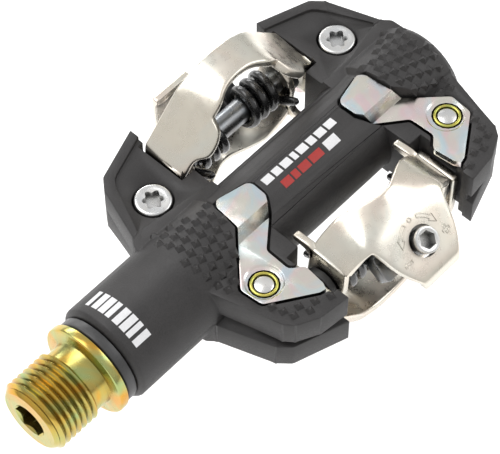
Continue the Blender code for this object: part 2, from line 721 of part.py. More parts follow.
# --- claw -----------------------------------------------------------------------------------
def strap_section(half, thickness):
    """A closed section with the half line as its outer side, mirrored about the middle."""
    outer = mirrored_half(half)
    inner = offset_open(outer, thickness)
    return outer + list(reversed(inner))


def across(points):
    """A section drawn about x = 0 moved to the platform's centre."""
    return [(PLATFORM_X + x, z) for x, z in points]


def front_claw(name, parent):
    foot_top = -(ARM_TOP - PLATE_T - GAP) + CLAW_T + GAP
    section = strap_section(CLAW_ARCH + ((CLAW_FLANGE, foot_top - CLAW_T),), CLAW_T)
    claw = slab(name, across(section), -CLAW_FRONT, -0.0100, PARTS, "nickel", parent,
                matrix=IN_XZ)
    for vert in claw.data.vertices:
        reach = min(max((abs(vert.co.x - PLATFORM_X) - 0.0070) / 0.0040, 0.0), 1.0)
        if vert.co.y < 0.0101 and vert.co.z > 0.0030:
            vert.co.z -= CLAW_TILT * (CLAW_FRONT - 0.0100) * reach
    rear = mirrored_half(CLAW_REAR_EDGE)
    behind = across([(-0.030, 0.0), (0.030, 0.0)] + list(reversed(rear)))
    for cutter in (
        slab(name + "_rear", behind, -0.020, 0.030, CUTTERS),
        rod(name + "_axle_hole", AXLE_R + RUN, PLATFORM_X - 0.03, PLATFORM_X + 0.03, CUTTERS,
            at=(AXLE_Y, 0.0), axis="X"),
    ):
        cutter.parent = parent
        combine(claw, cutter, "DIFFERENCE")
    for side in (-1, 1):
        xs = (side * (CLAW_FLANGE - CLAW_T / 2), side * CLAW_FOOT)
        outline = across([(xs[0], CLAW_FOOT_REAR), (xs[1], CLAW_FOOT_REAR),
                          (xs[1], CLAW_FOOT_FRONT), (xs[0], CLAW_FOOT_FRONT)])
        foot = slab(f"{name}_foot_{side}", outline, foot_top - CLAW_T, foot_top, CUTTERS)
        foot.parent = parent
        combine(claw, foot, "UNION")


# --- rear binding ---------------------------------------------------------------------------
def tail_matrix():
    return (Matrix.Translation((PLATFORM_X, TAIL_SCREW_Y, TAIL_SCREW_Z))
            @ Matrix.Rotation(math.radians(TAIL_ANGLE), 4, "X"))


def binding_side_outline():
    """The binding seen from its side, with a round eye about the axle."""
    arc = []
    for k in range(9):
        angle = -math.pi * k / 8
        arc.append((-AXLE_Y + EYE_R * math.cos(angle), EYE_R * math.sin(angle)))
    return [(-0.0140, 0.03), (-0.0142, 0.0055)] + arc + [(-BIND_REAR, 0.0055),
                                                         (-BIND_REAR, 0.03)]


def binding_tail(name):
    """The sloping plate behind the strap, curled down at its end."""
    end = -TAIL_LENGTH
    path = [(0.0075, 0.0), (end + TAIL_CURL, 0.0)]
    for k in range(1, 5):
        angle = math.radians(90.0 + 22.5 * k)
        path.append((end + TAIL_CURL + TAIL_CURL * math.cos(angle),
                     -TAIL_CURL + TAIL_CURL * math.sin(angle)))
    path.append((end, -0.0036))
    section = path + list(reversed(offset_open(path, -TAIL_T)))
    place = tail_matrix()
    tail = slab(name + "_tail", section, -0.012, 0.012, CUTTERS, matrix=place @ IN_YZ)
    half = TAIL_OUTLINE
    plan = rounded([(-x, y) for x, y in half] + list(reversed(half)), 0.0014)
    shape = slab(name + "_tail_plan", plan, -0.02, 0.01, CUTTERS, matrix=place)
    combine(tail, shape, "INTERSECT")
    return baked(tail, name + "_tail_solid", CUTTERS)


def rear_binding(name, parent):
    outer = BIND_STRAP + ((BIND_HALF, -0.0060),)
    section = across(strap_section(outer, BIND_T))
    strap = slab(name + "_strap", section, 0.0140, BIND_REAR, CUTTERS, matrix=IN_XZ)
    lip = mirrored_half(LIP_EDGE)
    ahead = across([(-0.030, 0.0), (0.030, 0.0)] + list(reversed(lip)))
    combine(strap, slab(name + "_lip", ahead, -0.02, 0.03, CUTTERS), "DIFFERENCE")
    side_view = slab(name + "_side", binding_side_outline(), 0.0, 0.1, CUTTERS, matrix=IN_YZ)
    combine(strap, side_view, "INTERSECT")
    solid = baked(strap, name + "_solid", CUTTERS)
    combine(solid, binding_tail(name), "UNION")
    for side in (-1, 1):
        xs = (side * (BIND_HALF - FINGER_T), side * BIND_HALF)
        outline = across([(xs[0], -0.0150), (xs[1], -0.0150), (xs[1], -FINGER_TIP),
                          (xs[0], -FINGER_TIP)])
        finger = slab(f"{name}_finger_{side}", outline, FINGER_TOP - 0.0016, FINGER_TOP, CUTTERS)
        combine(solid, finger, "UNION")
    combine(solid, rod(name + "_eye", AXLE_R + RUN, 0.0, 0.1, CUTTERS, at=(-AXLE_Y, 0.0),
                       axis="X"), "DIFFERENCE")
    screw_hole = rod(name + "_screw_hole", SCREW_HOLE_R, -0.01, 0.01, CUTTERS)
    screw_hole.data.transform(tail_matrix())
    combine(solid, screw_hole, "DIFFERENCE")
    made = baked(solid, name, PARTS, "nickel")
    return on_axis(made, parent)


def on_axis(obj, pivot):
    """Parents obj to its pivot empty without moving its shape in side A's place."""
    obj.data.transform(Matrix.Translation(-Vector(pivot["rest"])))
    obj.parent = pivot
    return obj


def tension_screw(name, pivot):
    top = 0.0002
    profile = [
        (top, 0.0), (top, SCREW_HEAD_R - 0.0003), (top - 0.0003, SCREW_HEAD_R),
        (-TAIL_T - GAP, SCREW_HEAD_R), (-TAIL_T - GAP, SCREW_COLLAR_R),
        (-TAIL_T - 0.0013, SCREW_COLLAR_R), (-TAIL_T - 0.0013, SCREW_R),
        (-SCREW_LENGTH + 0.0003, SCREW_R), (-SCREW_LENGTH, SCREW_R - 0.0003),
        (-SCREW_LENGTH, 0.0)]
    screw = turned(name + "_blank", profile, CUTTERS, steps=16)
    screw.rotation_euler = (0.0, 0.0, 0.0)
    recess = slab(name + "_hex", hexagon(SCREW_HEX_AF), top - 0.0014, top + 0.001, CUTTERS)
    combine(screw, recess, "DIFFERENCE")
    made = baked(screw, name, PARTS, "bolt")
    made.data.transform(tail_matrix())
    return on_axis(made, pivot)


def tension_nut(name, pivot):
    half = (TENSION_NUT_HALF, TENSION_NUT_WIDTH / 2)
    outline = rounded([(-half[0], -half[1]), (half[0], -half[1]), half,
                       (-half[0], half[1])], 0.0008)
    low = -TENSION_NUT_TOP - TENSION_NUT_T
    block = slab(name + "_block", outline, low, -TENSION_NUT_TOP, CUTTERS)
    hole = rod(name + "_hole", SCREW_R + GAP, -0.02, 0.01, CUTTERS)
    combine(block, hole, "DIFFERENCE")
    made = baked(block, name, PARTS, "dark_steel")
    made.data.transform(tail_matrix())
    return on_axis(made, pivot)


# --- axle, springs and bushes ---------------------------------------------------------------
def binding_axle(name, parent):
    low = PLATFORM_X - AXLE_HALF
    high = PLATFORM_X + AXLE_HALF
    edge = 0.0004
    axle = turned(name, [
        (high, 0.0), (high, AXLE_R - edge), (high - edge, AXLE_R), (low + edge, AXLE_R),
        (low, AXLE_R - edge), (low, 0.0)], PARTS, "dark_steel", parent, steps=SMALL_STEPS)
    axle.location = (0.0, -AXLE_Y, 0.0)


def torsion_spring(name, side, parent):
    """A coil about the axle: its inner leg bears on the tension nut, its outer on the barrel."""
    mean = AXLE_R + RUN + SPRING_WIRE
    slope = math.radians(TAIL_ANGLE)
    start = math.pi / 2 + slope
    tail = Vector((0.0, -math.cos(slope), -math.sin(slope)))
    points = []
    per_turn = 10
    steps = round(SPRING_TURNS * per_turn)
    sweep = start - math.radians(90.0) - 2 * math.pi * (SPRING_TURNS - 0.75)
    for k in range(steps + 1):
        t = k / steps
        angle = start + (sweep - start) * t
        x = PLATFORM_X + side * (SPRING_IN + SPRING_PITCH * SPRING_TURNS * t)
        points.append(Vector((x, -AXLE_Y + mean * math.cos(angle), mean * math.sin(angle))))
    points = [points[0] + tail * SPRING_INNER_LEG] + points
    last = points[-1] - points[-2]
    last.x = 0.0
    points.append(points[-1] + last.normalized() * SPRING_OUTER_LEG)
    tube(name, points, SPRING_WIRE, PARTS, "spring", parent)


def spacer_bush(name, side, parent):
    start = PLATFORM_X + side * (BIND_HALF + GAP)
    end = start + side * BUSH_WIDTH
    low, high = sorted((start, end))
    bush = turned(name, [
        (high, AXLE_R + GAP), (high, BUSH_R), (low, BUSH_R), (low, AXLE_R + GAP)],
        PARTS, "bush", parent, ring=True, steps=SMALL_STEPS)
    bush.location = (0.0, -AXLE_Y, 0.0)


# --- the two sides --------------------------------------------------------------------------
def empty(name, rotation, rest=(0.0, 0.0, 0.0), parent=None):
    obj = bpy.data.objects.new(name, None)
    PARTS.objects.link(obj)
    obj.parent = parent
    obj.location = rest
    obj.rotation_euler = rotation
    obj["rest"] = rest
    return obj


def build_side(letter, turn):
    frame = empty(f"side_{letter}", (turn, 0.0, 0.0))
    pivot = empty(f"pivot_{letter}", (0.0, 0.0, 0.0), (PLATFORM_X, -AXLE_Y, 0.0), frame)
    for word, side in (("inboard", -1), ("outboard", 1)):
        contact_plate(f"contact_plate_{letter}_{word}", side, frame)
        torsion_spring(f"spring_{letter}_{word}", side, frame)
        spacer_bush(f"bush_{letter}_{word}", side, frame)
        body_bolt(f"body_bolt_{letter}_{word}", side, frame)
        clinch_nut(f"clinch_nut_{letter}_{word}", side, frame)
    front_claw(f"front_claw_{letter}", frame)
    binding_axle(f"binding_axle_{letter}", frame)
    rear_binding(f"rear_binding_{letter}", pivot)
    tension_screw(f"tension_screw_{letter}", pivot)
    tension_nut(f"tension_nut_{letter}", pivot)


clear_scene()
PARTS = new_collection("clipless_pedal")
CUTTERS = new_collection("cutters")

build_spindle()
build_cartridge()
build_ball_bearing(1, BALL_BEARING_START)
build_ball_bearing(2, BALL_BEARING_START + BALL_BEARING_WIDTH + GAP)
build_spindle_end()
build_side("a", 0.0)
build_side("b", math.pi)
build_body()
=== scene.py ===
"""The looks of a clipless pedal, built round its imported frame, in metres."""

import math

import bmesh
import bpy
from mathutils import Matrix, Vector


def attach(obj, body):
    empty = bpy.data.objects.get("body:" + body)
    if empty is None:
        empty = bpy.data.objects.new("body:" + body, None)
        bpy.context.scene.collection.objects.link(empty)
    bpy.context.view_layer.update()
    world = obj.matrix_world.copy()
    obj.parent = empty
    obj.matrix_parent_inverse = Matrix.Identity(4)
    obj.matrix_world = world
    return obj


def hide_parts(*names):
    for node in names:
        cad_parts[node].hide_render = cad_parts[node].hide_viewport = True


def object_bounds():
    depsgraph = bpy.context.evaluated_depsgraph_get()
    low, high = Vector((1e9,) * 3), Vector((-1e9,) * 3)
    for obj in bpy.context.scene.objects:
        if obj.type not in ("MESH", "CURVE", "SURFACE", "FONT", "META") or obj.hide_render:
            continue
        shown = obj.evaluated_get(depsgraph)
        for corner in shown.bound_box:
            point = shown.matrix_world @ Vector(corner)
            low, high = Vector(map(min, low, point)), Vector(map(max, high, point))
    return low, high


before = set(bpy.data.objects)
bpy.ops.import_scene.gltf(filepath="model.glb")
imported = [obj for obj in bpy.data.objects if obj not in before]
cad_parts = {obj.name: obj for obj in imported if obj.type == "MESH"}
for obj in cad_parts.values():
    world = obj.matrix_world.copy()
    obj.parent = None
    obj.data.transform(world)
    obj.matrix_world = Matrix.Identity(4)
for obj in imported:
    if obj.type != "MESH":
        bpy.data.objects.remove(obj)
cad_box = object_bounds()

MM = 0.001
CENTRE = 0.0555               # the platform's centre along the spindle
FASTENER_X = 24.45 * MM       # the bolts and clinch nuts, from the platform's centre
FASTENER_Y = 13.25 * MM
SIDES = (("a", 1), ("b", -1))
WINGS = (("inboard", -1), ("outboard", 1))


# --- camera, floor and light ----------------------------------------------------------------
def add_camera():
    right = Vector((0.677334, -0.735676, 0.0))
    up = Vector((0.611120, 0.562656, 0.556775))
    back = right.cross(up).normalized()
    up = back.cross(right)
    place = Vector((45.1, 0.0, 0.0)) + 433.2 * back - 2.1815 * right - 2.8005 * up
    data = bpy.data.cameras.new("camera")
    data.sensor_width = 36.0
    data.lens = 174.76
    data.clip_start = 0.01
    camera = bpy.data.objects.new("camera", data)
    bpy.context.scene.collection.objects.link(camera)
    turn = Matrix((right, up, back)).transposed().to_4x4()
    camera.matrix_world = Matrix.Translation(place * MM) @ turn
    bpy.context.scene.camera = camera
    bpy.context.scene.view_settings.view_transform = "Standard"


def add_panel(name, place, target, width, height, power, colour=(1.0, 1.0, 1.0)):
    data = bpy.data.lights.new(name, "AREA")
    data.shape = "RECTANGLE"
    data.size = width
    data.size_y = height
    data.energy = power
    data.color = colour
    lamp = bpy.data.objects.new(name, data)
    bpy.context.scene.collection.objects.link(lamp)
    aim = Vector(target) - Vector(place)
    lamp.rotation_euler = aim.to_track_quat("-Z", "Y").to_euler()
    lamp.location = place


def add_studio():
    bpy.ops.mesh.primitive_plane_add(size=3.0, location=(0.05, 0.0, cad_box[0][2] - 0.030))
    floor = bpy.context.active_object
    floor.name = "floor"
    paper = bpy.data.materials.new("paper")
    paper.use_nodes = True
    shader = paper.node_tree.nodes["Principled BSDF"]
    shader.inputs["Base Color"].default_value = (0.93, 0.93, 0.93, 1.0)
    shader.inputs["Roughness"].default_value = 0.9
    shader.inputs["Emission Color"].default_value = (1.0, 1.0, 1.0, 1.0)
    shader.inputs["Emission Strength"].default_value = 0.35
    floor.data.materials.append(paper)
    world = bpy.data.worlds.new("studio")
    bpy.context.scene.world = world
    world.use_nodes = True
    nodes, links = world.node_tree.nodes, world.node_tree.links
    where = nodes.new("ShaderNodeTexCoord")
    split = nodes.new("ShaderNodeSeparateXYZ")
    ramp = nodes.new("ShaderNodeValToRGB")
    links.new(where.outputs["Generated"], split.inputs[0])
    links.new(split.outputs["Z"], ramp.inputs[0])
    links.new(ramp.outputs[0], nodes["Background"].inputs["Color"])
    stops = ramp.color_ramp.elements
    stops[0].position, stops[0].color = 0.0, (0.42, 0.41, 0.39, 1.0)
    stops[1].position, stops[1].color = 1.0, (0.96, 0.96, 0.97, 1.0)
    for position, light in ((0.10, 0.70), (0.34, 0.90)):
        stop = stops.new(position)
        stop.color = (light, light * 0.99, light * 0.975, 1.0)
    nodes["Background"].inputs["Strength"].default_value = 0.80
    middle = (CENTRE, 0.0, 0.0)
    add_panel("key", (-0.10, 0.30, 0.55), middle, 0.45, 0.45, 1.9)
    add_panel("fill", (0.45, -0.25, 0.40), middle, 0.35, 0.35, 0.8)
    add_panel("rim", (0.25, 0.45, 0.15), middle, 0.30, 0.12, 0.6)


# --- shared shader groups -------------------------------------------------------------------
def new_shader_group(name, inputs, outputs):
    group = bpy.data.node_groups.new(name, "ShaderNodeTree")
    for socket, kind, value in inputs:
        made = group.interface.new_socket(name=socket, in_out="INPUT", socket_type=kind)
        made.default_value = value
    for socket, kind in outputs:
        group.interface.new_socket(name=socket, in_out="OUTPUT", socket_type=kind)
    entry = group.nodes.new("NodeGroupInput")
    result = group.nodes.new("NodeGroupOutput")
    where = group.nodes.new("ShaderNodeTexCoord")
    return group, entry, result, where.outputs["Object"]


def noise_node(tree, vector, scale, detail, stretch=None):
    if stretch:
        mapping = tree.nodes.new("ShaderNodeMapping")
        mapping.inputs["Scale"].default_value = stretch
        tree.links.new(vector, mapping.inputs["Vector"])
        vector = mapping.outputs["Vector"]
    noise = tree.nodes.new("ShaderNodeTexNoise")
    noise.inputs["Scale"].default_value = scale
    noise.inputs["Detail"].default_value = detail
    tree.links.new(vector, noise.inputs["Vector"])
    return noise.outputs["Fac"]


def ranged(tree, value, low, high, to_low, to_high):
    node = tree.nodes.new("ShaderNodeMapRange")
    for name, setting in (("From Min", low), ("From Max", high)):
        node.inputs[name].default_value = setting
    tree.links.new(value, node.inputs["Value"])
    for name, setting in (("To Min", to_low), ("To Max", to_high)):
        if isinstance(setting, float):
            node.inputs[name].default_value = setting
        else:
            tree.links.new(setting, node.inputs[name])
    return node.outputs["Result"]


def mixed(tree, factor, first, second, blend="MIX"):
    node = tree.nodes.new("ShaderNodeMix")
    node.data_type = "RGBA"
    node.blend_type = blend
    for socket, value in ((node.inputs["Factor"], factor), (node.inputs[6], first),
                          (node.inputs[7], second)):
        if isinstance(value, (float, tuple)):
            socket.default_value = value
        else:
            tree.links.new(value, socket)
    return node.outputs[2]


def make_grain_group():
    """Fine moulded grain: a mottled colour, a roughness and a bump height."""
    group, entry, result, where = new_shader_group(
        "moulded_grain",
        [("Light", "NodeSocketColor", (0.08, 0.08, 0.08, 1.0)),
         ("Dark", "NodeSocketColor", (0.03, 0.03, 0.03, 1.0)),
         ("Rough Low", "NodeSocketFloat", 0.4), ("Rough High", "NodeSocketFloat", 0.6)],
        [("Color", "NodeSocketColor"), ("Roughness", "NodeSocketFloat"),
         ("Height", "NodeSocketFloat")])
    fine = noise_node(group, where, 3400.0, 3.0)
    broad = noise_node(group, where, 260.0, 2.0)
    fine_mask = ranged(group, fine, 0.32, 0.68, 0.0, 1.0)
    broad_mask = ranged(group, broad, 0.3, 0.7, 0.0, 1.0)
    blend = group.nodes.new("ShaderNodeMath")
    blend.operation = "MULTIPLY_ADD"
    blend.inputs[1].default_value = 0.65
    group.links.new(fine_mask, blend.inputs[0])
    scaled = group.nodes.new("ShaderNodeMath")
    scaled.operation = "MULTIPLY"
    scaled.inputs[1].default_value = 0.35
    group.links.new(broad_mask, scaled.inputs[0])
    group.links.new(scaled.outputs[0], blend.inputs[2])
    colour = mixed(group, blend.outputs[0], entry.outputs["Dark"], entry.outputs["Light"])
    rough = ranged(group, fine, 0.3, 0.7, entry.outputs["Rough Low"],
                   entry.outputs["Rough High"])
    group.links.new(colour, result.inputs["Color"])
    group.links.new(rough, result.inputs["Roughness"])
    group.links.new(fine, result.inputs["Height"])
    return group


def make_film_and_shade_group():
    """The thin oxide film on plated steel: two tints that drift, a smudged roughness, and painted
    shade that darkens the colour in corners and creases.
    """
    group, entry, result, where = new_shader_group(
        "plated_film_and_painted_shade",
        [("Base", "NodeSocketColor", (0.8, 0.8, 0.8, 1.0)),
         ("Warm", "NodeSocketColor", (0.9, 0.7, 0.7, 1.0)),
         ("Cool", "NodeSocketColor", (0.7, 0.8, 0.9, 1.0)),
         ("Strength", "NodeSocketFloat", 0.3), ("Scale", "NodeSocketFloat", 120.0),
         ("Rough Low", "NodeSocketFloat", 0.12), ("Rough High", "NodeSocketFloat", 0.3)],
        [("Color", "NodeSocketColor"), ("Roughness", "NodeSocketFloat"),
         ("Height", "NodeSocketFloat")])
    drift = group.nodes.new("ShaderNodeTexNoise")
    drift.inputs["Detail"].default_value = 2.0
    drift.inputs["Distortion"].default_value = 1.2
    group.links.new(where, drift.inputs["Vector"])
    group.links.new(entry.outputs["Scale"], drift.inputs["Scale"])
    split = group.nodes.new("ShaderNodeSeparateColor")
    group.links.new(drift.outputs["Color"], split.inputs[0])
    smudge = noise_node(group, where, 520.0, 4.0)
    pits = noise_node(group, where, 5200.0, 2.0)
    warm_mask = ranged(group, split.outputs[0], 0.42, 0.66, 0.0, entry.outputs["Strength"])
    cool_mask = ranged(group, split.outputs[1], 0.42, 0.66, 0.0, entry.outputs["Strength"])
    colour = mixed(group, warm_mask, entry.outputs["Base"], entry.outputs["Warm"])
    colour = mixed(group, cool_mask, colour, entry.outputs["Cool"])
    rough = ranged(group, smudge, 0.35, 0.7, entry.outputs["Rough Low"],
                   entry.outputs["Rough High"])
    # Painted shade: ambient occlusion darkens the colour in corners, creases and recesses within
    # 2.2 mm.
    corners = group.nodes.new("ShaderNodeAmbientOcclusion")
    corners.samples = 6
    corners.inputs["Distance"].default_value = 0.0022
    shade = ranged(group, corners.outputs["AO"], 0.30, 0.85, 0.22, 1.0)
    colour = mixed(group, 1.0, colour, shade, "MULTIPLY")
    group.links.new(colour, result.inputs["Color"])
    group.links.new(rough, result.inputs["Roughness"])
    group.links.new(pits, result.inputs["Height"])
    return group


def new_material(name, metallic, group, values, bump, coat=0.0, specular=0.5):
    """A Principled material whose colour, roughness and bump come from a shared group."""
    made = bpy.data.materials.new(name)
    made.use_nodes = True
    tree = made.node_tree
    shader = tree.nodes["Principled BSDF"]
    shader.inputs["Metallic"].default_value = metallic
    shader.inputs["Coat Weight"].default_value = coat
    shader.inputs["Coat Roughness"].default_value = 0.15
    shader.inputs["Specular IOR Level"].default_value = specular
    skin = tree.nodes.new("ShaderNodeGroup")
    skin.node_tree = group
    for socket, value in values.items():
        skin.inputs[socket].default_value = value
    height = tree.nodes.new("ShaderNodeBump")
    height.inputs["Strength"].default_value = bump
    height.inputs["Distance"].default_value = 0.00006
    tree.links.new(skin.outputs["Color"], shader.inputs["Base Color"])
    tree.links.new(skin.outputs["Roughness"], shader.inputs["Roughness"])
    tree.links.new(skin.outputs["Height"], height.inputs["Height"])
    tree.links.new(height.outputs["Normal"], shader.inputs["Normal"])
    return made


def plated(name, base, warm, cool, strength, scale, rough, bump=0.05):
    values = {"Base": (*base, 1.0), "Warm": (*warm, 1.0), "Cool": (*cool, 1.0),
              "Strength": strength, "Scale": scale, "Rough Low": rough[0],
              "Rough High": rough[1]}
    return new_material(name, 1.0, film_and_shade_group, values, bump)


def moulded(name, light, dark, rough, bump, coat=0.0, specular=0.5, metallic=0.0):
    values = {"Light": (*light, 1.0), "Dark": (*dark, 1.0), "Rough Low": rough[0],
              "Rough High": rough[1]}
    return new_material(name, metallic, grain_group, values, bump, coat, specular)


grain_group = make_grain_group()
film_and_shade_group = make_film_and_shade_group()
looks = {
    "composite": moulded("carbon_composite", (0.038, 0.0355, 0.0355), (0.019, 0.018, 0.018),
                         (0.42, 0.62), 0.75),
    "nickel": plated("bright_nickel", (0.76, 0.71, 0.61), (0.82, 0.70, 0.62),
                     (0.70, 0.73, 0.68), 0.5, 90.0, (0.24, 0.36)),
    "plate": plated("rainbow_zinc_plate", (0.76, 0.735, 0.66), (0.84, 0.62, 0.66),
                    (0.58, 0.76, 0.84), 0.7, 170.0, (0.17, 0.28)),
    "bolt": plated("bright_zinc_bolt", (0.70, 0.70, 0.69), (0.84, 0.80, 0.74),
                   (0.74, 0.78, 0.82), 0.3, 300.0, (0.22, 0.36), 0.12),
    "chromate": plated("gold_chromate", (0.60, 0.40, 0.075), (0.66, 0.33, 0.05),
                       (0.36, 0.47, 0.20), 0.9, 110.0, (0.17, 0.30), 0.06),
    "clinch": plated("green_gold_chromate", (0.60, 0.54, 0.12), (0.70, 0.58, 0.16),
                     (0.44, 0.54, 0.15), 0.6, 500.0, (0.22, 0.36), 0.10),
    "dark_steel": plated("dark_oxide_steel", (0.26, 0.265, 0.27), (0.30, 0.28, 0.26),
                         (0.22, 0.25, 0.28), 0.5, 240.0, (0.24, 0.42), 0.12),
    "bearing_steel": plated("ground_steel", (0.62, 0.62, 0.63), (0.66, 0.62, 0.58),
                            (0.58, 0.62, 0.66), 0.3, 200.0, (0.14, 0.26)),
    "spring": moulded("black_spring_lacquer", (0.018, 0.018, 0.019), (0.008, 0.008, 0.008),
                      (0.20, 0.34), 0.15, coat=0.6),
    "rubber": moulded("black_rubber", (0.030, 0.030, 0.030), (0.015, 0.015, 0.015),
                      (0.55, 0.75), 0.4, specular=0.4),
    "seal_ring": moulded("dark_grey_nylon", (0.055, 0.055, 0.056), (0.035, 0.035, 0.036),
                         (0.30, 0.45), 0.3),
    "bush": moulded("black_nylon", (0.040, 0.040, 0.040), (0.020, 0.020, 0.020),
                    (0.45, 0.60), 0.3),
    "white_print": moulded("white_print", (0.80, 0.80, 0.81), (0.70, 0.70, 0.71),
                           (0.40, 0.55), 0.2),
    "red_print": moulded("red_print", (0.42, 0.028, 0.022), (0.34, 0.022, 0.018),
                         (0.35, 0.50), 0.2),
}


# --- modelling helpers ----------------------------------------------------------------------
def take(obj):
    """Makes obj the only selected object, and the active one."""
    bpy.ops.object.select_all(action="DESELECT")
    obj.select_set(True)
    bpy.context.view_layer.objects.active = obj


def new_piece(name):
    """Names the primitive that was just added."""
    obj = bpy.context.active_object
    obj.name = name
    obj.data.name = name
    return obj


def modifiers_applied(obj):
    take(obj)
    for modifier in list(obj.modifiers):
        bpy.ops.object.modifier_apply(modifier=modifier.name)


def merged_copy(node, name):
    """A copy of a frame node with its loose triangles merged and its flat faces made whole."""
    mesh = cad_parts[node].data.copy()
    obj = bpy.data.objects.new(name, mesh)
    mesh.name = name
    bpy.context.scene.collection.objects.link(obj)
    take(obj)
    bpy.ops.object.mode_set(mode="EDIT")
    bpy.ops.mesh.select_all(action="SELECT")
    bpy.ops.mesh.remove_doubles(threshold=0.000002)
    bpy.ops.mesh.dissolve_limited(angle_limit=math.radians(1.0))
    bpy.ops.object.mode_set(mode="OBJECT")
    return obj


def cut(obj, other, operation="DIFFERENCE", solver="EXACT"):
    """Applies a Boolean with another object, which is used up."""
    modifier = obj.modifiers.new("cut", "BOOLEAN")
    modifier.operation = operation
    modifier.solver = solver
    modifier.object = other
    modifiers_applied(obj)
    bpy.data.objects.remove(other, do_unlink=True)


def bevelled(obj, width, segments=2, angle=35.0, clamp=True):
    modifier = obj.modifiers.new("bevel", "BEVEL")
    modifier.width = width
    modifier.segments = segments
    modifier.limit_method = "ANGLE"
    modifier.angle_limit = math.radians(angle)
    modifier.use_clamp_overlap = clamp
    modifiers_applied(obj)


def smoothed(obj, angle=40.0):
    take(obj)
    bpy.ops.object.shade_smooth_by_angle(angle=math.radians(angle))


def joined(name, pieces):
    take(pieces[0])
    for piece in pieces[1:]:
        piece.select_set(True)
    bpy.ops.object.join()
    return new_piece(name)


def done(obj, body, look, slot, *nodes):
    """Gives a finished piece its material and its body, and hides the frame nodes that it stands
    for.
    """
    obj.data.materials.clear()
    obj.data.materials.append(looks[look])
    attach(obj, body)
    if nodes:
        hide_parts(*nodes)
    return obj


def half_turn(obj, name):
    """A copy of a finished shape, turned half a turn about the spindle for side B."""
    copy = obj.copy()
    copy.data = obj.data.copy()
    copy.name = name
    copy.data.name = name
    bpy.context.scene.collection.objects.link(copy)
    copy.data.transform(Matrix.Rotation(math.pi, 4, "X"))
    return copy


def lathe(name, profile, steps=64, centre=(0.0, 0.0, 0.0), axis="X"):
    """A turned piece from (place along the axis, radius) points, spun in edit mode."""
    bpy.ops.mesh.primitive_plane_add(size=0.001)
    obj = new_piece(name)
    bpy.ops.object.mode_set(mode="EDIT")
    bm = bmesh.from_edit_mesh(obj.data)
    bm.clear()
    points = [bm.verts.new((x, 0.0, max(r, 0.0))) for x, r in profile]
    for first, second in zip(points, points[1:]):
        bm.edges.new((first, second))
    bmesh.update_edit_mesh(obj.data)
    bpy.ops.mesh.select_all(action="SELECT")
    bpy.ops.mesh.spin(steps=steps, angle=2 * math.pi, center=(0, 0, 0), axis=(1, 0, 0))
    bpy.ops.mesh.select_all(action="SELECT")
    bpy.ops.mesh.remove_doubles(threshold=0.000001)
    bpy.ops.mesh.dissolve_degenerate(threshold=0.000001)
    bpy.ops.mesh.select_all(action="SELECT")
    bpy.ops.mesh.normals_make_consistent(inside=False)
    bpy.ops.object.mode_set(mode="OBJECT")
    if axis == "Z":
        obj.data.transform(Matrix.Rotation(-math.pi / 2, 4, "Y"))
    obj.data.transform(Matrix.Translation(centre))
    return obj


def prism(name, corners, low, high, place=None):
    """A closed slab from plan corners, filled and extruded upwards in edit mode."""
    bpy.ops.mesh.primitive_plane_add(size=0.001)
    obj = new_piece(name)
    bpy.ops.object.mode_set(mode="EDIT")
    bm = bmesh.from_edit_mesh(obj.data)
    bm.clear()
    bm.faces.new([bm.verts.new((x, y, low)) for x, y in corners])
    bmesh.update_edit_mesh(obj.data)
    bpy.ops.mesh.select_all(action="SELECT")
    bpy.ops.mesh.extrude_region_move(TRANSFORM_OT_translate={"value": (0, 0, high - low)})
    bpy.ops.mesh.select_all(action="SELECT")
    bpy.ops.mesh.normals_make_consistent(inside=False)
    bpy.ops.object.mode_set(mode="OBJECT")
    if place:
        obj.data.transform(place)
    return obj


def lofted(name, rows):
    """A sheet with one row of points after another, from a grid shaped to them."""
    across, along = len(rows[0]), len(rows)
    bpy.ops.mesh.primitive_grid_add(x_subdivisions=across - 1, y_subdivisions=along - 1,
                                    size=1.0)
    obj = new_piece(name)
    ordered = sorted(obj.data.vertices, key=lambda v: (round(v.co.y, 5), round(v.co.x, 5)))
    for vert, point in zip(ordered, [point for row in rows for point in row]):
        vert.co = Vector(point)
    return obj


def interpolated(points, x):
    """The value at x on a smooth line through (x, value) points, flat at both ends."""
    if x <= points[0][0]:
        return points[0][1]
    for i in range(len(points) - 1):
        x0, y0 = points[i]
        x1, y1 = points[i + 1]
        if x <= x1:
            def slope(k):
                a, b = points[max(k - 1, 0)], points[min(k + 1, len(points) - 1)]
                return (b[1] - a[1]) / (b[0] - a[0])
            t, width = (x - x0) / (x1 - x0), x1 - x0
            return ((2 * t ** 3 - 3 * t ** 2 + 1) * y0 + (t ** 3 - 2 * t ** 2 + t) * width
                    * slope(i) + (3 * t ** 2 - 2 * t ** 3) * y1
                    + (t ** 3 - t ** 2) * width * slope(i + 1))
    return points[-1][1]


def thickened(obj, thickness, edge):
    """Gives a sheet its wall downwards, rounds its edges and smooths it."""
    take(obj)
    wall = obj.modifiers.new("wall", "SOLIDIFY")
    wall.thickness = thickness
    wall.offset = -1.0
    wall.use_even_offset = True
    modifiers_applied(obj)
    bevelled(obj, edge, 2, 55.0, clamp=False)
    rounder = obj.modifiers.new("smooth", "SUBSURF")
    rounder.levels = 1
    rounder.render_levels = 1
    modifiers_applied(obj)
    smoothed(obj, 60.0)


# --- body -----------------------------------------------------------------------------------
HUB_R = 9.8 * MM
WING_TOP = 6.4 * MM
STUD_PITCH = 2.1 * MM
STUD_ROW = 2.05 * MM
STUD_HALF = 0.98 * MM
STUD_HEIGHT = 0.62 * MM
STUD_TILT = math.radians(17.5)
BORE_ZONE = 7.0 * MM          # edges nearer the spindle than this stay sharp
BOLT_ZONE = 5.6 * MM          # as do edges this near a bolt
STUD_ZONE = (
    (31.0, 7.6), (20.4, 3.9), (20.6, 1.9), (21.1, -3.0), (29.1, -11.0), (28.7, -16.4),
    (18.2, -23.4), (18.2, -24.4), (22.6, -23.7), (26.1, -21.7), (27.6, -19.8), (28.8, -15.6),
    (31.0, -8.0), (32.2, -2.4), (32.6, 3.0), (32.4, 7.4),
)


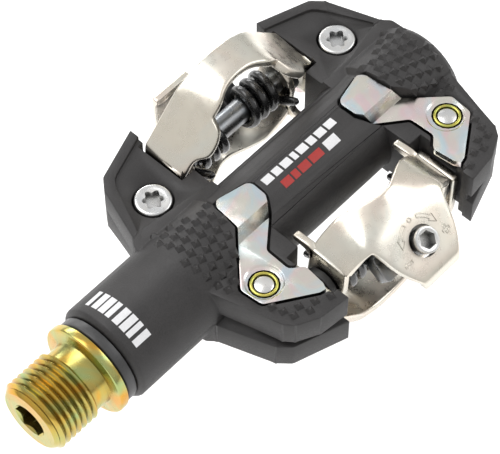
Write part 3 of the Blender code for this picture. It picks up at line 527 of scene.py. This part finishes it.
def inside(point, outline):
    x, y = point
    hit = False
    for (x0, y0), (x1, y1) in zip(outline, outline[1:] + outline[:1]):
        if (y0 > y) != (y1 > y) and x < (x1 - x0) * (y - y0) / (y1 - y0) + x0:
            hit = not hit
    return hit


def top_at(y):
    """Height and tilt of the body's top at a distance from the spindle's axis."""
    if abs(y) < math.sqrt(HUB_R ** 2 - WING_TOP ** 2):
        height = math.sqrt(HUB_R ** 2 - y ** 2)
        return height, math.atan2(y, height)
    return WING_TOP, 0.0


def add_studs(side, letter):
    """The grip studs on one wing: small pyramids in slanting rows."""
    zone = [(x * MM, y * MM) for x, y in STUD_ZONE]
    bm = bmesh.new()
    across = Vector((math.cos(STUD_TILT), -math.sin(STUD_TILT)))
    down = Vector((math.sin(STUD_TILT), math.cos(STUD_TILT)))
    for i in range(-30, 30):
        for j in range(-30, 30):
            spot = Vector((26.0 * MM, 0.0)) + i * STUD_PITCH * across * -1 + j * STUD_ROW * down
            if not inside(spot, zone):
                continue
            height, lean = top_at(spot.y)
            turn = Matrix.Rotation(side * STUD_TILT + math.pi / 4, 4, "Z")
            place = (Matrix.Translation((CENTRE + side * spot.x, spot.y, height))
                     @ Matrix.Rotation(-lean, 4, "X") @ turn
                     @ Matrix.Translation((0, 0, STUD_HEIGHT / 2 - 0.00015)))
            bmesh.ops.create_cone(bm, cap_ends=True, segments=4, radius1=STUD_HALF * 1.414,
                                  radius2=STUD_HALF * 0.25, depth=STUD_HEIGHT + 0.0003,
                                  matrix=place)
    mesh = bpy.data.meshes.new("grip_studs")
    bm.to_mesh(mesh)
    bm.free()
    obj = bpy.data.objects.new("grip_studs", mesh)
    bpy.context.scene.collection.objects.link(obj)
    if letter == "b":
        mesh.transform(Matrix.Rotation(math.pi, 4, "X"))
    return obj


def softened_body():
    """The body with the outer edges of its shells and pockets rounded."""
    obj = merged_copy("body", "body_moulding")
    bm = bmesh.new()
    bm.from_mesh(obj.data)
    bmesh.ops.triangulate(bm, faces=[f for f in bm.faces if len(f.verts) > 4])
    weight = bm.edges.layers.float.new("bevel_weight_edge")
    for edge in bm.edges:
        if len(edge.link_faces) != 2 or edge.calc_length() < 0.00034:
            continue
        middle = (edge.verts[0].co + edge.verts[1].co) / 2
        from_bolt = Vector((abs(middle.x - CENTRE) - FASTENER_X, abs(middle.y) - FASTENER_Y))
        if math.hypot(middle.y, middle.z) < BORE_ZONE or from_bolt.length < BOLT_ZONE:
            continue
        if edge.calc_face_angle() > math.radians(38.0):
            edge[weight] = 1.0
    bm.to_mesh(obj.data)
    bm.free()
    modifier = obj.modifiers.new("bevel", "BEVEL")
    modifier.limit_method = "WEIGHT"
    modifier.width = 0.00022
    modifier.segments = 2
    modifier.use_clamp_overlap = False
    modifiers_applied(obj)
    return obj


body = softened_body()
for letter, sign in SIDES:
    for wing, side in WINGS:
        studs = add_studs(side, letter)
        done(studs, "pedal_body", "composite", "composite")
        studs.name = f"grip_studs_{letter}_{wing}"
smoothed(body, 32.0)
done(body, "pedal_body", "composite", "composite", "body")


# --- printed bars ---------------------------------------------------------------------------
def printed_bar(name, radius, start, end, low, high, look):
    """A thin bar of print wrapped on a round surface, between two places and two angles."""
    steps = max(2, int(abs(high - low) / 2.5))
    rows = []
    for k in range(steps + 1):
        angle = math.radians(low + (high - low) * k / steps)
        rows.append([(CENTRE + x * MM, -radius * math.sin(angle), radius * math.cos(angle))
                     for x in (start, (start + end) / 2, end)])
    bar = lofted(name, rows)
    take(bar)
    wall = bar.modifiers.new("wall", "SOLIDIFY")
    wall.thickness = 0.00004
    wall.offset = 0.0
    modifiers_applied(bar)
    smoothed(bar)
    return done(bar, "pedal_body", look, "composite")


NECK_PRINT = 8.83 * MM
BARREL_PRINT = 9.65 * MM
# Each bar's start and width along the neck.
NECK_ROW = ((-10.2, 2.1), (-7.6, 1.7), (-5.4, 2.1), (-2.8, 1.1), (-1.2, 2.1), (1.4, 1.7),
            (3.6, 2.1), (6.2, 2.1))
RED_ROW = ((-8.0, 2.2), (-5.4, 1.4), (-3.6, 2.4), (-0.8, 3.0))
BARREL_BARS = 8
BARREL_BAR_PITCH = 10.0       # degrees
for index, (start, width) in enumerate(NECK_ROW):
    printed_bar(f"neck_bar_{index}", NECK_PRINT, start, start + width, -4.5, 6.0, "white_print")
for index, (start, width) in enumerate(RED_ROW):
    printed_bar(f"neck_red_{index}", NECK_PRINT, start, start + width, 13.0, 23.5, "red_print")
printed_bar("neck_tag", NECK_PRINT, 3.2, 6.3, 12.0, 24.5, "white_print")
for index in range(BARREL_BARS):
    low = -36.0 + BARREL_BAR_PITCH * index
    printed_bar(f"barrel_bar_{index}", BARREL_PRINT, -48.9, -45.3, low,
                low + (8.0 if index % 3 else 6.0), "white_print")


# --- spindle --------------------------------------------------------------------------------
def spindle_profile():
    """The spindle's crank end as (place, radius), with a V thread 1.27 mm apart."""
    pitch, root, crest = 1.27 * MM, 6.38 * MM, 7.13 * MM
    points = [(-13.0 * MM, 0.0), (-13.0 * MM, 5.9 * MM), (-12.75 * MM, 6.2 * MM),
              (-12.3 * MM, 6.5 * MM)]
    x = -12.2 * MM
    while x < -3.4 * MM:
        points += [(x, root), (x + 0.44 * pitch, crest - 0.05 * MM), (x + 0.5 * pitch, crest),
                   (x + 0.58 * pitch, crest - 0.05 * MM), (x + 0.96 * pitch, root)]
        x += pitch
    points += [(x + 0.1 * MM, 6.4 * MM), (-0.55 * MM, 6.38 * MM), (-0.15 * MM, 6.55 * MM),
               (0.0, 6.9 * MM), (0.0, 8.7 * MM), (0.06 * MM, 8.95 * MM), (0.2 * MM, 9.1 * MM),
               (0.4 * MM, 9.15 * MM), (1.4 * MM, 9.15 * MM), (1.6 * MM, 9.1 * MM),
               (1.74 * MM, 8.95 * MM), (1.8 * MM, 8.7 * MM), (1.8 * MM, 4.2 * MM),
               (10.3 * MM, 4.2 * MM), (11.1 * MM, 3.6 * MM), (13.4 * MM, 3.6 * MM),
               (14.0 * MM, 3.5 * MM), (28.5 * MM, 3.5 * MM), (47.9 * MM, 3.2 * MM),
               (47.9 * MM, 2.4 * MM), (56.1 * MM, 2.4 * MM), (56.1 * MM, 2.0 * MM),
               (61.0 * MM, 2.0 * MM), (61.3 * MM, 1.7 * MM), (61.3 * MM, 0.0)]
    return points


def hexagon_corners(flats, count=6, turn=0.0):
    radius = flats / 2 / math.cos(math.pi / count)
    return [(radius * math.cos(turn + 2 * math.pi * k / count),
             radius * math.sin(turn + 2 * math.pi * k / count)) for k in range(count)]


def build_spindle_end():
    """The part of the spindle outside the barrel, with its hexagon socket."""
    end = lathe("spindle_crank_end", spindle_profile(), steps=96)
    lay = Matrix.Rotation(math.pi / 2, 4, "Y") @ Matrix.Rotation(math.pi / 6, 4, "Z")
    socket = prism("socket", hexagon_corners(6.0 * MM), -13.2 * MM, -4.5 * MM, lay)
    cut(end, socket)
    mouth = lathe("mouth", [(-13.3 * MM, 0.0), (-13.3 * MM, 3.75 * MM), (-12.5 * MM, 2.95 * MM),
                            (-12.5 * MM, 0.0)], steps=48)
    cut(end, mouth)
    smoothed(end, 30.0)
    return end


crank_end = build_spindle_end()
done(crank_end, "spindle", "chromate", "chromate", "spindle")


# --- turned and small parts -----------------------------------------------------------------
def smooth_copy(node, name, body, look, slot, width=0.0, angle=30.0, crease=32.0):
    """A frame node's merged copy with its edges rounded."""
    obj = merged_copy(node, name)
    if width:
        bevelled(obj, width, 2, angle)
    smoothed(obj, crease)
    return done(obj, body, look, slot, node)


def rounded_coil(node, name):
    """A spring with its facets smoothed into round wire."""
    obj = merged_copy(node, name)
    swell = [vert.normal.copy() for vert in obj.data.vertices]
    for vert, normal in zip(obj.data.vertices, swell):
        vert.co += normal * 0.00012
    modifier = obj.modifiers.new("round", "SUBSURF")
    modifier.levels = 1
    modifier.render_levels = 1
    modifiers_applied(obj)
    smoothed(obj, 70.0)
    return done(obj, "pedal_body", "spring", "spring", node)


def torx_corners(radius, wave, steps=48):
    corners = []
    for k in range(steps):
        angle = 2 * math.pi * k / steps
        reach = radius + wave * math.cos(6 * angle)
        corners.append((reach * math.cos(angle), reach * math.sin(angle)))
    return corners


def bolt_shape():
    """A body bolt about the origin: round-edged head with a six-lobed recess, and its tip."""
    profile = [(-6.2, 0.0), (-6.2, 1.45), (-6.05, 1.72), (-5.8, 1.84), (4.1, 1.84), (4.1, 3.3),
               (4.3, 3.48), (5.25, 3.48), (5.5, 3.42), (5.68, 3.27), (5.76, 3.08), (5.79, 2.85),
               (5.72, 2.35), (5.70, 2.2), (5.70, 0.0)]
    bolt = lathe("bolt", [(x * MM, r * MM) for x, r in profile], steps=64, axis="Z")
    cut(bolt, prism("lobes", torx_corners(1.78 * MM, 0.30 * MM), 4.55 * MM, 7.0 * MM))
    smoothed(bolt, 32.0)
    return bolt


def nut_shape():
    """A clinch nut about the origin: a ring with a rolled lip and a chamfered thread mouth."""
    profile = [(6.28, 2.10), (6.30, 2.28), (6.26, 2.44), (6.15, 2.56), (5.9, 2.59), (2.4, 2.59),
               (2.32, 2.5), (2.32, 2.16), (5.6, 2.16), (5.75, 2.0), (5.85, 1.92), (5.95, 1.98),
               (6.15, 2.0), (6.28, 2.10)]
    nut = lathe("nut", [(x * MM, r * MM) for x, r in profile], steps=64, axis="Z")
    smoothed(nut, 50.0)
    return nut


def put_copies(shape, kind, look):
    """Copies of a fastener at all four places, the side B ones turned over."""
    for letter, sign in SIDES:
        for wing, side in WINGS:
            y = FASTENER_Y if kind == "body_bolt" else -FASTENER_Y
            name = f"{kind}_{letter}_{wing}"
            copy = shape.copy()
            copy.data = shape.data.copy()
            bpy.context.scene.collection.objects.link(copy)
            copy.data.transform(Matrix.Rotation(0.4 + side + sign, 4, "Z"))
            copy.data.transform(Matrix.Translation((CENTRE + side * FASTENER_X, y, 0.0)))
            if letter == "b":
                copy.data.transform(Matrix.Rotation(math.pi, 4, "X"))
            copy.name = "visible_" + name
            done(copy, "pedal_body", look, look, name)
    bpy.data.objects.remove(shape, do_unlink=True)


put_copies(bolt_shape(), "body_bolt", "bolt")
put_copies(nut_shape(), "clinch_nut", "clinch")


def tension_screw_shape():
    """Side A's tension screw head: a round-edged disc with a hexagon socket and its shank."""
    profile = [(-8.6, 0.0), (-8.6, 1.4), (-8.3, 1.68), (-1.2, 1.68), (-1.2, 2.3), (0.9, 2.48),
               (1.3, 2.48), (1.5, 2.38), (1.6, 2.2), (1.6, 1.95), (1.5, 1.7), (1.5, 0.0)]
    screw = lathe("screw", [(x * MM, r * MM) for x, r in profile], steps=56, axis="Z")
    cut(screw, prism("socket", hexagon_corners(3.0 * MM), -0.4 * MM, 3.0 * MM))
    smoothed(screw, 32.0)
    return screw


TAIL_FRAME = (Matrix.Translation((CENTRE, -28.3 * MM, 7.9 * MM))
              @ Matrix.Rotation(math.radians(36.0), 4, "X"))


def build_axle(letter, sign):
    rod = lathe(f"axle_{letter}", [(38.0 * MM, 0.0), (38.0 * MM, 1.9 * MM), (38.4 * MM, 2.28 * MM),
                                   (72.6 * MM, 2.28 * MM), (73.0 * MM, 1.9 * MM),
                                   (73.0 * MM, 0.0)], steps=48,
                centre=(0.0, -18.1 * MM * sign, 0.0))
    smoothed(rod, 30.0)
    done(rod, "pedal_body", "dark_steel", "dark_steel", f"binding_axle_{letter}")


for letter, sign in SIDES:
    build_axle(letter, sign)
    for wing, side in WINGS:
        rounded_coil(f"spring_{letter}_{wing}", f"coil_{letter}_{wing}")
        smooth_copy(f"bush_{letter}_{wing}", f"spacer_{letter}_{wing}", "pedal_body", "bush",
                    "bush", 0.00015)
    smooth_copy(f"tension_nut_{letter}", f"tension_bar_{letter}", f"tension_nut_{letter}",
                "dark_steel", "dark_steel", 0.0003, 40.0)
smooth_copy("cartridge_collar", "end_collar", "pedal_body", "seal_ring", "seal_ring", 0.0001)
smooth_copy("lip_seal", "wiper_seal", "pedal_body", "rubber", "rubber", 0.00008)


# --- contact plates -------------------------------------------------------------------------
def contact_plate(letter, wing, side):
    """A pressed plate with soft edges and a shallow dish round its clinch nut."""
    node = f"contact_plate_{letter}_{wing}"
    plate = merged_copy(node, f"bright_plate_{letter}_{wing}")
    k = 1 if letter == "a" else -1
    seat = (CENTRE + side * 24.2 * MM, -13.05 * MM * k, 0.0)
    dish = lathe("dish", [(6.12 * MM, 0.0), (6.12 * MM, 3.3 * MM), (6.5 * MM, 3.75 * MM),
                          (6.5 * MM, 0.0)], steps=56, axis="Z")
    if letter == "b":
        dish.data.transform(Matrix.Rotation(math.pi, 4, "X"))
    dish.data.transform(Matrix.Translation(seat))
    cut(plate, dish)
    bevelled(plate, 0.00028, 3, 40.0)
    smoothed(plate, 26.0)
    done(plate, "pedal_body", "plate", "plate", node)


for letter, sign in SIDES:
    for wing, side in WINGS:
        contact_plate(letter, wing, side)


# --- front claws ----------------------------------------------------------------------------
# Half of the claw from above and in front: distance from the middle, rear edge's y, and height.
CLAW_ARCH = (
    (0.0, 17.5), (2.6, 17.35), (5.1, 16.75), (7.5, 15.7), (9.85, 14.1), (12.55, 11.6),
    (15.9, 8.4), (17.0, 7.15), (17.4, 6.3), (17.55, 5.2),
)
CLAW_REAR = (
    (0.0, 15.3), (3.0, 15.1), (4.5, 14.6), (6.1, 13.9), (7.7, 13.6), (8.8, 13.75), (9.05, 12.7),
    (9.4, 11.6), (10.3, 10.8), (12.1, 10.5), (13.2, 10.8), (13.9, 11.9), (14.8, 12.8),
    (17.5, 12.9), (18.0, 12.9),
)


def stepped(points, x):
    """The value at x on a straight line through (x, value) points."""
    for (x0, y0), (x1, y1) in zip(points, points[1:]):
        if x <= x1:
            return y0 + (y1 - y0) * (x - x0) / (x1 - x0)
    return points[-1][1]


def claw_stations():
    """Distances from the middle at which the claw's sheet has a row, dense at the bends."""
    half = [0.0, 1.3, 2.6, 3.8, 4.9, 5.8, 6.5, 6.9, 7.3, 7.9, 8.6, 8.85, 9.05, 9.4, 9.9, 10.6,
            11.4, 12.3, 13.0, 13.5, 13.9, 14.4, 15.1, 15.9, 16.5, 17.0, 17.3]
    return half


def claw_point(u, share):
    """A point of the claw's upper face, u from the middle and a share of the way forwards."""
    rear = stepped(CLAW_REAR, u)
    front = 22.2
    y = rear + (front - rear) * share
    arch = interpolated(CLAW_ARCH, u)
    leg = 6.95 + 0.99 * (17.1 - u)
    facet = min(max((u - 6.5) / 1.6, 0.0), 1.0)
    height = arch + (min(leg, arch + 0.15) - arch) * facet
    height -= 0.19 * (22.4 - y) * min(max((u - 6.2) / 3.0, 0.0), 1.0)
    height -= 0.35 * (1 - share) ** 2 * (1 - facet)
    return y, height


def build_claw():
    rows = []
    stations = claw_stations()
    places = [-u for u in reversed(stations[1:])] + stations
    shares = [0.0, 0.12, 0.3, 0.5, 0.7, 0.88, 1.0]
    foot = [(17.5, 5.6), (17.58, 4.0), (17.6, 0.0), (17.6, -3.0)]
    for k in reversed(foot):
        rows.append([(CENTRE - k[0] * MM, (12.9 + (22.2 - 12.9) * t) * MM, k[1] * MM)
                     for t in shares])
    for u in places:
        row = []
        for t in shares:
            y, z = claw_point(abs(u), t)
            row.append((CENTRE + u * MM, y * MM, z * MM))
        rows.append(row)
    for k in foot:
        rows.append([(CENTRE + k[0] * MM, (12.9 + (22.2 - 12.9) * t) * MM, k[1] * MM)
                     for t in shares])
    claw = lofted("claw", rows)
    take(claw)
    bpy.ops.object.mode_set(mode="EDIT")
    bpy.ops.mesh.select_all(action="SELECT")
    bpy.ops.mesh.normals_make_consistent(inside=False)
    bpy.ops.object.mode_set(mode="OBJECT")
    middle = [f for f in claw.data.polygons if abs(f.center.x - CENTRE) < 0.002]
    if middle and middle[0].normal.z < 0:
        claw.data.flip_normals()
    thickened(claw, 1.7 * MM, 0.42 * MM)
    return claw


claw = build_claw()
claw_b = half_turn(claw, "bent_claw_b")
claw.name = "bent_claw_a"
done(claw, "pedal_body", "nickel", "nickel", "front_claw_a")
done(claw_b, "pedal_body", "nickel", "nickel", "front_claw_b")


# --- rear bindings --------------------------------------------------------------------------
# The binding's upper face as rows from its front edge to its hips. Each row runs from the
# middle to the cheek: distance from the middle, y and height, for side A.
BINDING_ROWS = (
    ((0.0, -18.75, 13.55), (1.9, -18.45, 13.4), (3.75, -17.5, 13.0), (5.5, -16.65, 12.5),
     (7.3, -15.85, 11.95), (8.3, -15.5, 11.5), (9.15, -15.3, 11.0), (10.6, -14.85, 9.6),
     (12.3, -14.5, 8.0), (13.6, -14.4, 6.75), (14.0, -14.4, 6.1)),
    ((0.0, -19.3, 13.45), (1.9, -19.0, 13.3), (3.8, -18.1, 12.95), (5.6, -17.3, 12.4),
     (7.45, -16.8, 11.75), (8.5, -16.5, 11.2), (9.4, -16.3, 10.7), (10.8, -16.1, 9.35),
     (12.4, -16.0, 7.8), (13.65, -16.0, 6.6), (14.05, -16.0, 6.0)),
    ((0.0, -20.2, 13.0), (1.95, -20.0, 12.85), (3.9, -19.5, 12.55), (5.9, -19.0, 12.1),
     (7.9, -18.8, 11.4), (8.9, -18.6, 10.75), (9.8, -18.4, 10.2), (11.1, -18.3, 8.9),
     (12.6, -18.2, 7.45), (13.7, -18.2, 6.35), (14.05, -18.2, 5.8)),
    ((0.0, -21.2, 12.35), (2.0, -21.15, 12.25), (4.1, -21.05, 12.05), (6.4, -21.0, 11.7),
     (8.75, -21.0, 11.25), (9.6, -20.8, 10.5), (10.4, -20.6, 9.8), (11.5, -20.4, 8.65),
     (12.8, -20.2, 7.3), (13.75, -20.2, 6.25), (14.05, -20.2, 5.7)),
    ((0.0, -22.9, 11.55), (2.1, -22.9, 11.5), (4.4, -22.9, 11.45), (6.9, -22.95, 11.35),
     (9.6, -23.0, 11.0), (10.3, -22.7, 10.2), (10.9, -22.4, 9.5), (11.9, -22.1, 8.4),
     (13.0, -21.8, 7.25), (13.8, -21.7, 6.3), (14.05, -21.7, 5.8)),
    ((0.0, -24.4, 10.75), (2.1, -24.4, 10.72), (4.4, -24.4, 10.7), (6.9, -24.5, 10.6),
     (9.2, -24.6, 10.3), (10.2, -24.3, 9.75), (11.0, -23.9, 9.2), (12.0, -23.5, 8.35),
     (13.1, -23.1, 7.4), (13.9, -22.9, 6.7), (14.05, -22.9, 6.2)),
)
# The tail from the hips to its curled end: half width, y and height.
TAIL_ROWS = (
    (8.75, -25.7, 9.8), (8.3, -26.9, 8.92), (7.9, -28.3, 7.9), (7.1, -30.0, 6.67),
    (6.0, -31.6, 5.5), (5.2, -32.5, 4.75), (4.8, -33.05, 4.1), (4.6, -33.28, 3.2),
    (4.5, -33.3, 2.2),
)


def mirrored_row(row):
    left = [(CENTRE - u * MM, y * MM, z * MM) for u, y, z in reversed(row[1:])]
    return left + [(CENTRE + u * MM, y * MM, z * MM) for u, y, z in row]


def binding_sheet():
    """The pressed binding: lip, cheeks and groove from a shaped grid, the tail extruded."""
    sheet = lofted("binding_sheet", [mirrored_row(row) for row in BINDING_ROWS])
    take(sheet)
    bpy.ops.object.mode_set(mode="EDIT")
    bpy.ops.mesh.select_mode(type="VERT")
    bpy.ops.mesh.select_all(action="DESELECT")
    bm = bmesh.from_edit_mesh(sheet.data)
    hips = [v for v in bm.verts if v.co.y < -24.35 * MM and abs(v.co.x - CENTRE) < 9.4 * MM]
    for vert in hips:
        vert.select = True
    bm.select_flush_mode()
    bmesh.update_edit_mesh(sheet.data)
    width = 9.2
    for half, y, z in TAIL_ROWS:
        bpy.ops.mesh.extrude_region_move(TRANSFORM_OT_translate={"value": (0, 0, 0)})
        bm = bmesh.from_edit_mesh(sheet.data)
        for vert in bm.verts:
            if vert.select:
                vert.co.x = CENTRE + (vert.co.x - CENTRE) * half / width
                vert.co.y = y * MM
                vert.co.z = z * MM
        bmesh.update_edit_mesh(sheet.data)
        width = half
    bpy.ops.mesh.select_all(action="SELECT")
    bpy.ops.mesh.normals_make_consistent(inside=False)
    bpy.ops.object.mode_set(mode="OBJECT")
    top = max(sheet.data.polygons, key=lambda f: f.center.z)
    if top.normal.z < 0:
        sheet.data.flip_normals()
    thickened(sheet, 1.6 * MM, 0.40 * MM)
    return sheet


def binding_ears():
    """The two ears that turn on the axle, and the finger in front of each."""
    parts = []
    for side in (-1, 1):
        corners = [(-14.0, 7.0), (-14.2, 3.6), (-13.9, 0.0), (-14.5, -2.3), (-16.0, -3.7),
                   (-18.1, -4.2), (-20.2, -3.7), (-21.7, -2.3), (-22.4, 0.5), (-22.6, 6.4)]
        place = Matrix(((0, 0, 1, 0), (1, 0, 0, 0), (0, 1, 0, 0), (0, 0, 0, 1)))
        xs = sorted((CENTRE + side * 12.55 * MM, CENTRE + side * 14.02 * MM))
        ear = prism("ear", [(y * MM, z * MM) for y, z in corners], xs[0], xs[1], place)
        bevelled(ear, 0.35 * MM, 3, 30.0)
        parts.append(ear)
        finger = [(-15.4, 5.9), (-15.2, 7.0), (-14.0, 7.3), (-10.75, 7.15), (-10.35, 6.9),
                  (-10.3, 6.3), (-10.6, 5.9), (-13.2, 5.5), (-14.2, 4.6), (-15.4, 4.2)]
        tab = prism("finger", [(y * MM, z * MM) for y, z in finger], xs[0], xs[1], place)
        bevelled(tab, 0.38 * MM, 3, 30.0)
        parts.append(tab)
    return parts


def raised_line(points, radius):
    """A raised bead on the tail plate along points given in the plate's own plane."""
    curve = bpy.data.curves.new("bead", "CURVE")
    curve.dimensions = "3D"
    curve.bevel_depth = radius
    curve.bevel_resolution = 2
    curve.use_fill_caps = True
    spline = curve.splines.new("POLY")
    spline.points.add(len(points) - 1)
    spline.use_cyclic_u = True
    for spot, (x, y) in zip(spline.points, points):
        spot.co = (x, y, 0.00002, 1.0)
    obj = bpy.data.objects.new("bead", curve)
    bpy.context.scene.collection.objects.link(obj)
    take(obj)
    bpy.ops.object.convert(target="MESH")
    obj = bpy.context.active_object
    bpy.ops.object.mode_set(mode="EDIT")
    bpy.ops.mesh.select_all(action="SELECT")
    bpy.ops.mesh.remove_doubles(threshold=0.000001)
    bpy.ops.mesh.normals_make_consistent(inside=False)
    bpy.ops.object.mode_set(mode="OBJECT")
    obj.data.transform(TAIL_FRAME)
    return obj


def adjuster_marks():
    """Plus, minus, a dot and two curved arrows round the tension screw, as raised beads."""
    def arc(radius, start, end, steps=14):
        return [(radius * math.cos(math.radians(start + (end - start) * k / steps)) * MM,
                 radius * math.sin(math.radians(start + (end - start) * k / steps)) * MM)
                for k in range(steps + 1)]
    def spot(radius, angle):
        angle = math.radians(angle)
        return (radius * math.cos(angle) * MM, radius * math.sin(angle) * MM)

    loops = []
    for start, neck, tip in ((68, 32, 12), (108, 144, 165)):
        loops.append(arc(4.15, start, neck) + [spot(3.75, neck), spot(4.5, tip), spot(5.2, neck)]
                     + arc(4.8, neck, start))
    loops.append([(0.1 * MM + x, 4.45 * MM + y) for x, y in arc(0.40, 0, 320, 8)])
    cross = ((0.8, 0.25), (0.25, 0.25), (0.25, 0.8), (-0.25, 0.8), (-0.25, 0.25), (-0.8, 0.25))
    cross += tuple((-x, -y) for x, y in cross)
    loops.append([((4.95 + x) * MM, (-1.25 + y) * MM) for x, y in cross])
    loops.append([(x * MM, y * MM) for x, y in ((-5.9, -1.15), (-4.1, -1.15), (-4.1, -1.65),
                                                (-5.9, -1.65))])
    return [raised_line(points, 0.10 * MM) for points in loops]


def binding_shape():
    sheet = binding_sheet()
    hole = lathe("hole", [(-6.0 * MM, 0.0), (-6.0 * MM, 2.95 * MM), (3.0 * MM, 2.95 * MM),
                          (3.0 * MM, 0.0)], steps=56, axis="Z")
    hole.data.transform(TAIL_FRAME)
    cut(sheet, hole)
    smoothed(sheet, 50.0)
    ears = binding_ears()
    for ear in ears:
        smoothed(ear, 40.0)
    marks = adjuster_marks()
    for mark in marks:
        smoothed(mark, 60.0)
    return joined("pressed_binding_a", [sheet] + ears + marks)


binding = binding_shape()
binding_b = half_turn(binding, "pressed_binding_b")
done(binding, "binding_a", "nickel", "nickel", "rear_binding_a")
done(binding_b, "binding_b", "nickel", "nickel", "rear_binding_b")
screw = tension_screw_shape()
screw.data.transform(TAIL_FRAME)
screw_b = half_turn(screw, "adjuster_screw_b")
screw.name = "adjuster_screw_a"
done(screw, "tension_screw_a", "bolt", "bolt", "tension_screw_a")
done(screw_b, "tension_screw_b", "bolt", "bolt", "tension_screw_b")


# --- bearings, which keep the frame's shapes --------------------------------------------------
for node, look in (
    ("needle_cup", "bearing_steel"), ("needle_roller_cage", "bearing_steel"),
    ("spacer_sleeve", "dark_steel"), ("bearing_1_inner_ring", "bearing_steel"),
    ("bearing_1_outer_ring", "bearing_steel"), ("bearing_1_ball_cage", "bearing_steel"),
    ("bearing_2_inner_ring", "bearing_steel"), ("bearing_2_outer_ring", "bearing_steel"),
    ("bearing_2_ball_cage", "bearing_steel"), ("spindle_washer", "dark_steel"),
    ("spindle_nut", "dark_steel"),
):
    for node_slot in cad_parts[node].material_slots:
        node_slot.material = looks[look]


add_camera()
add_studio()
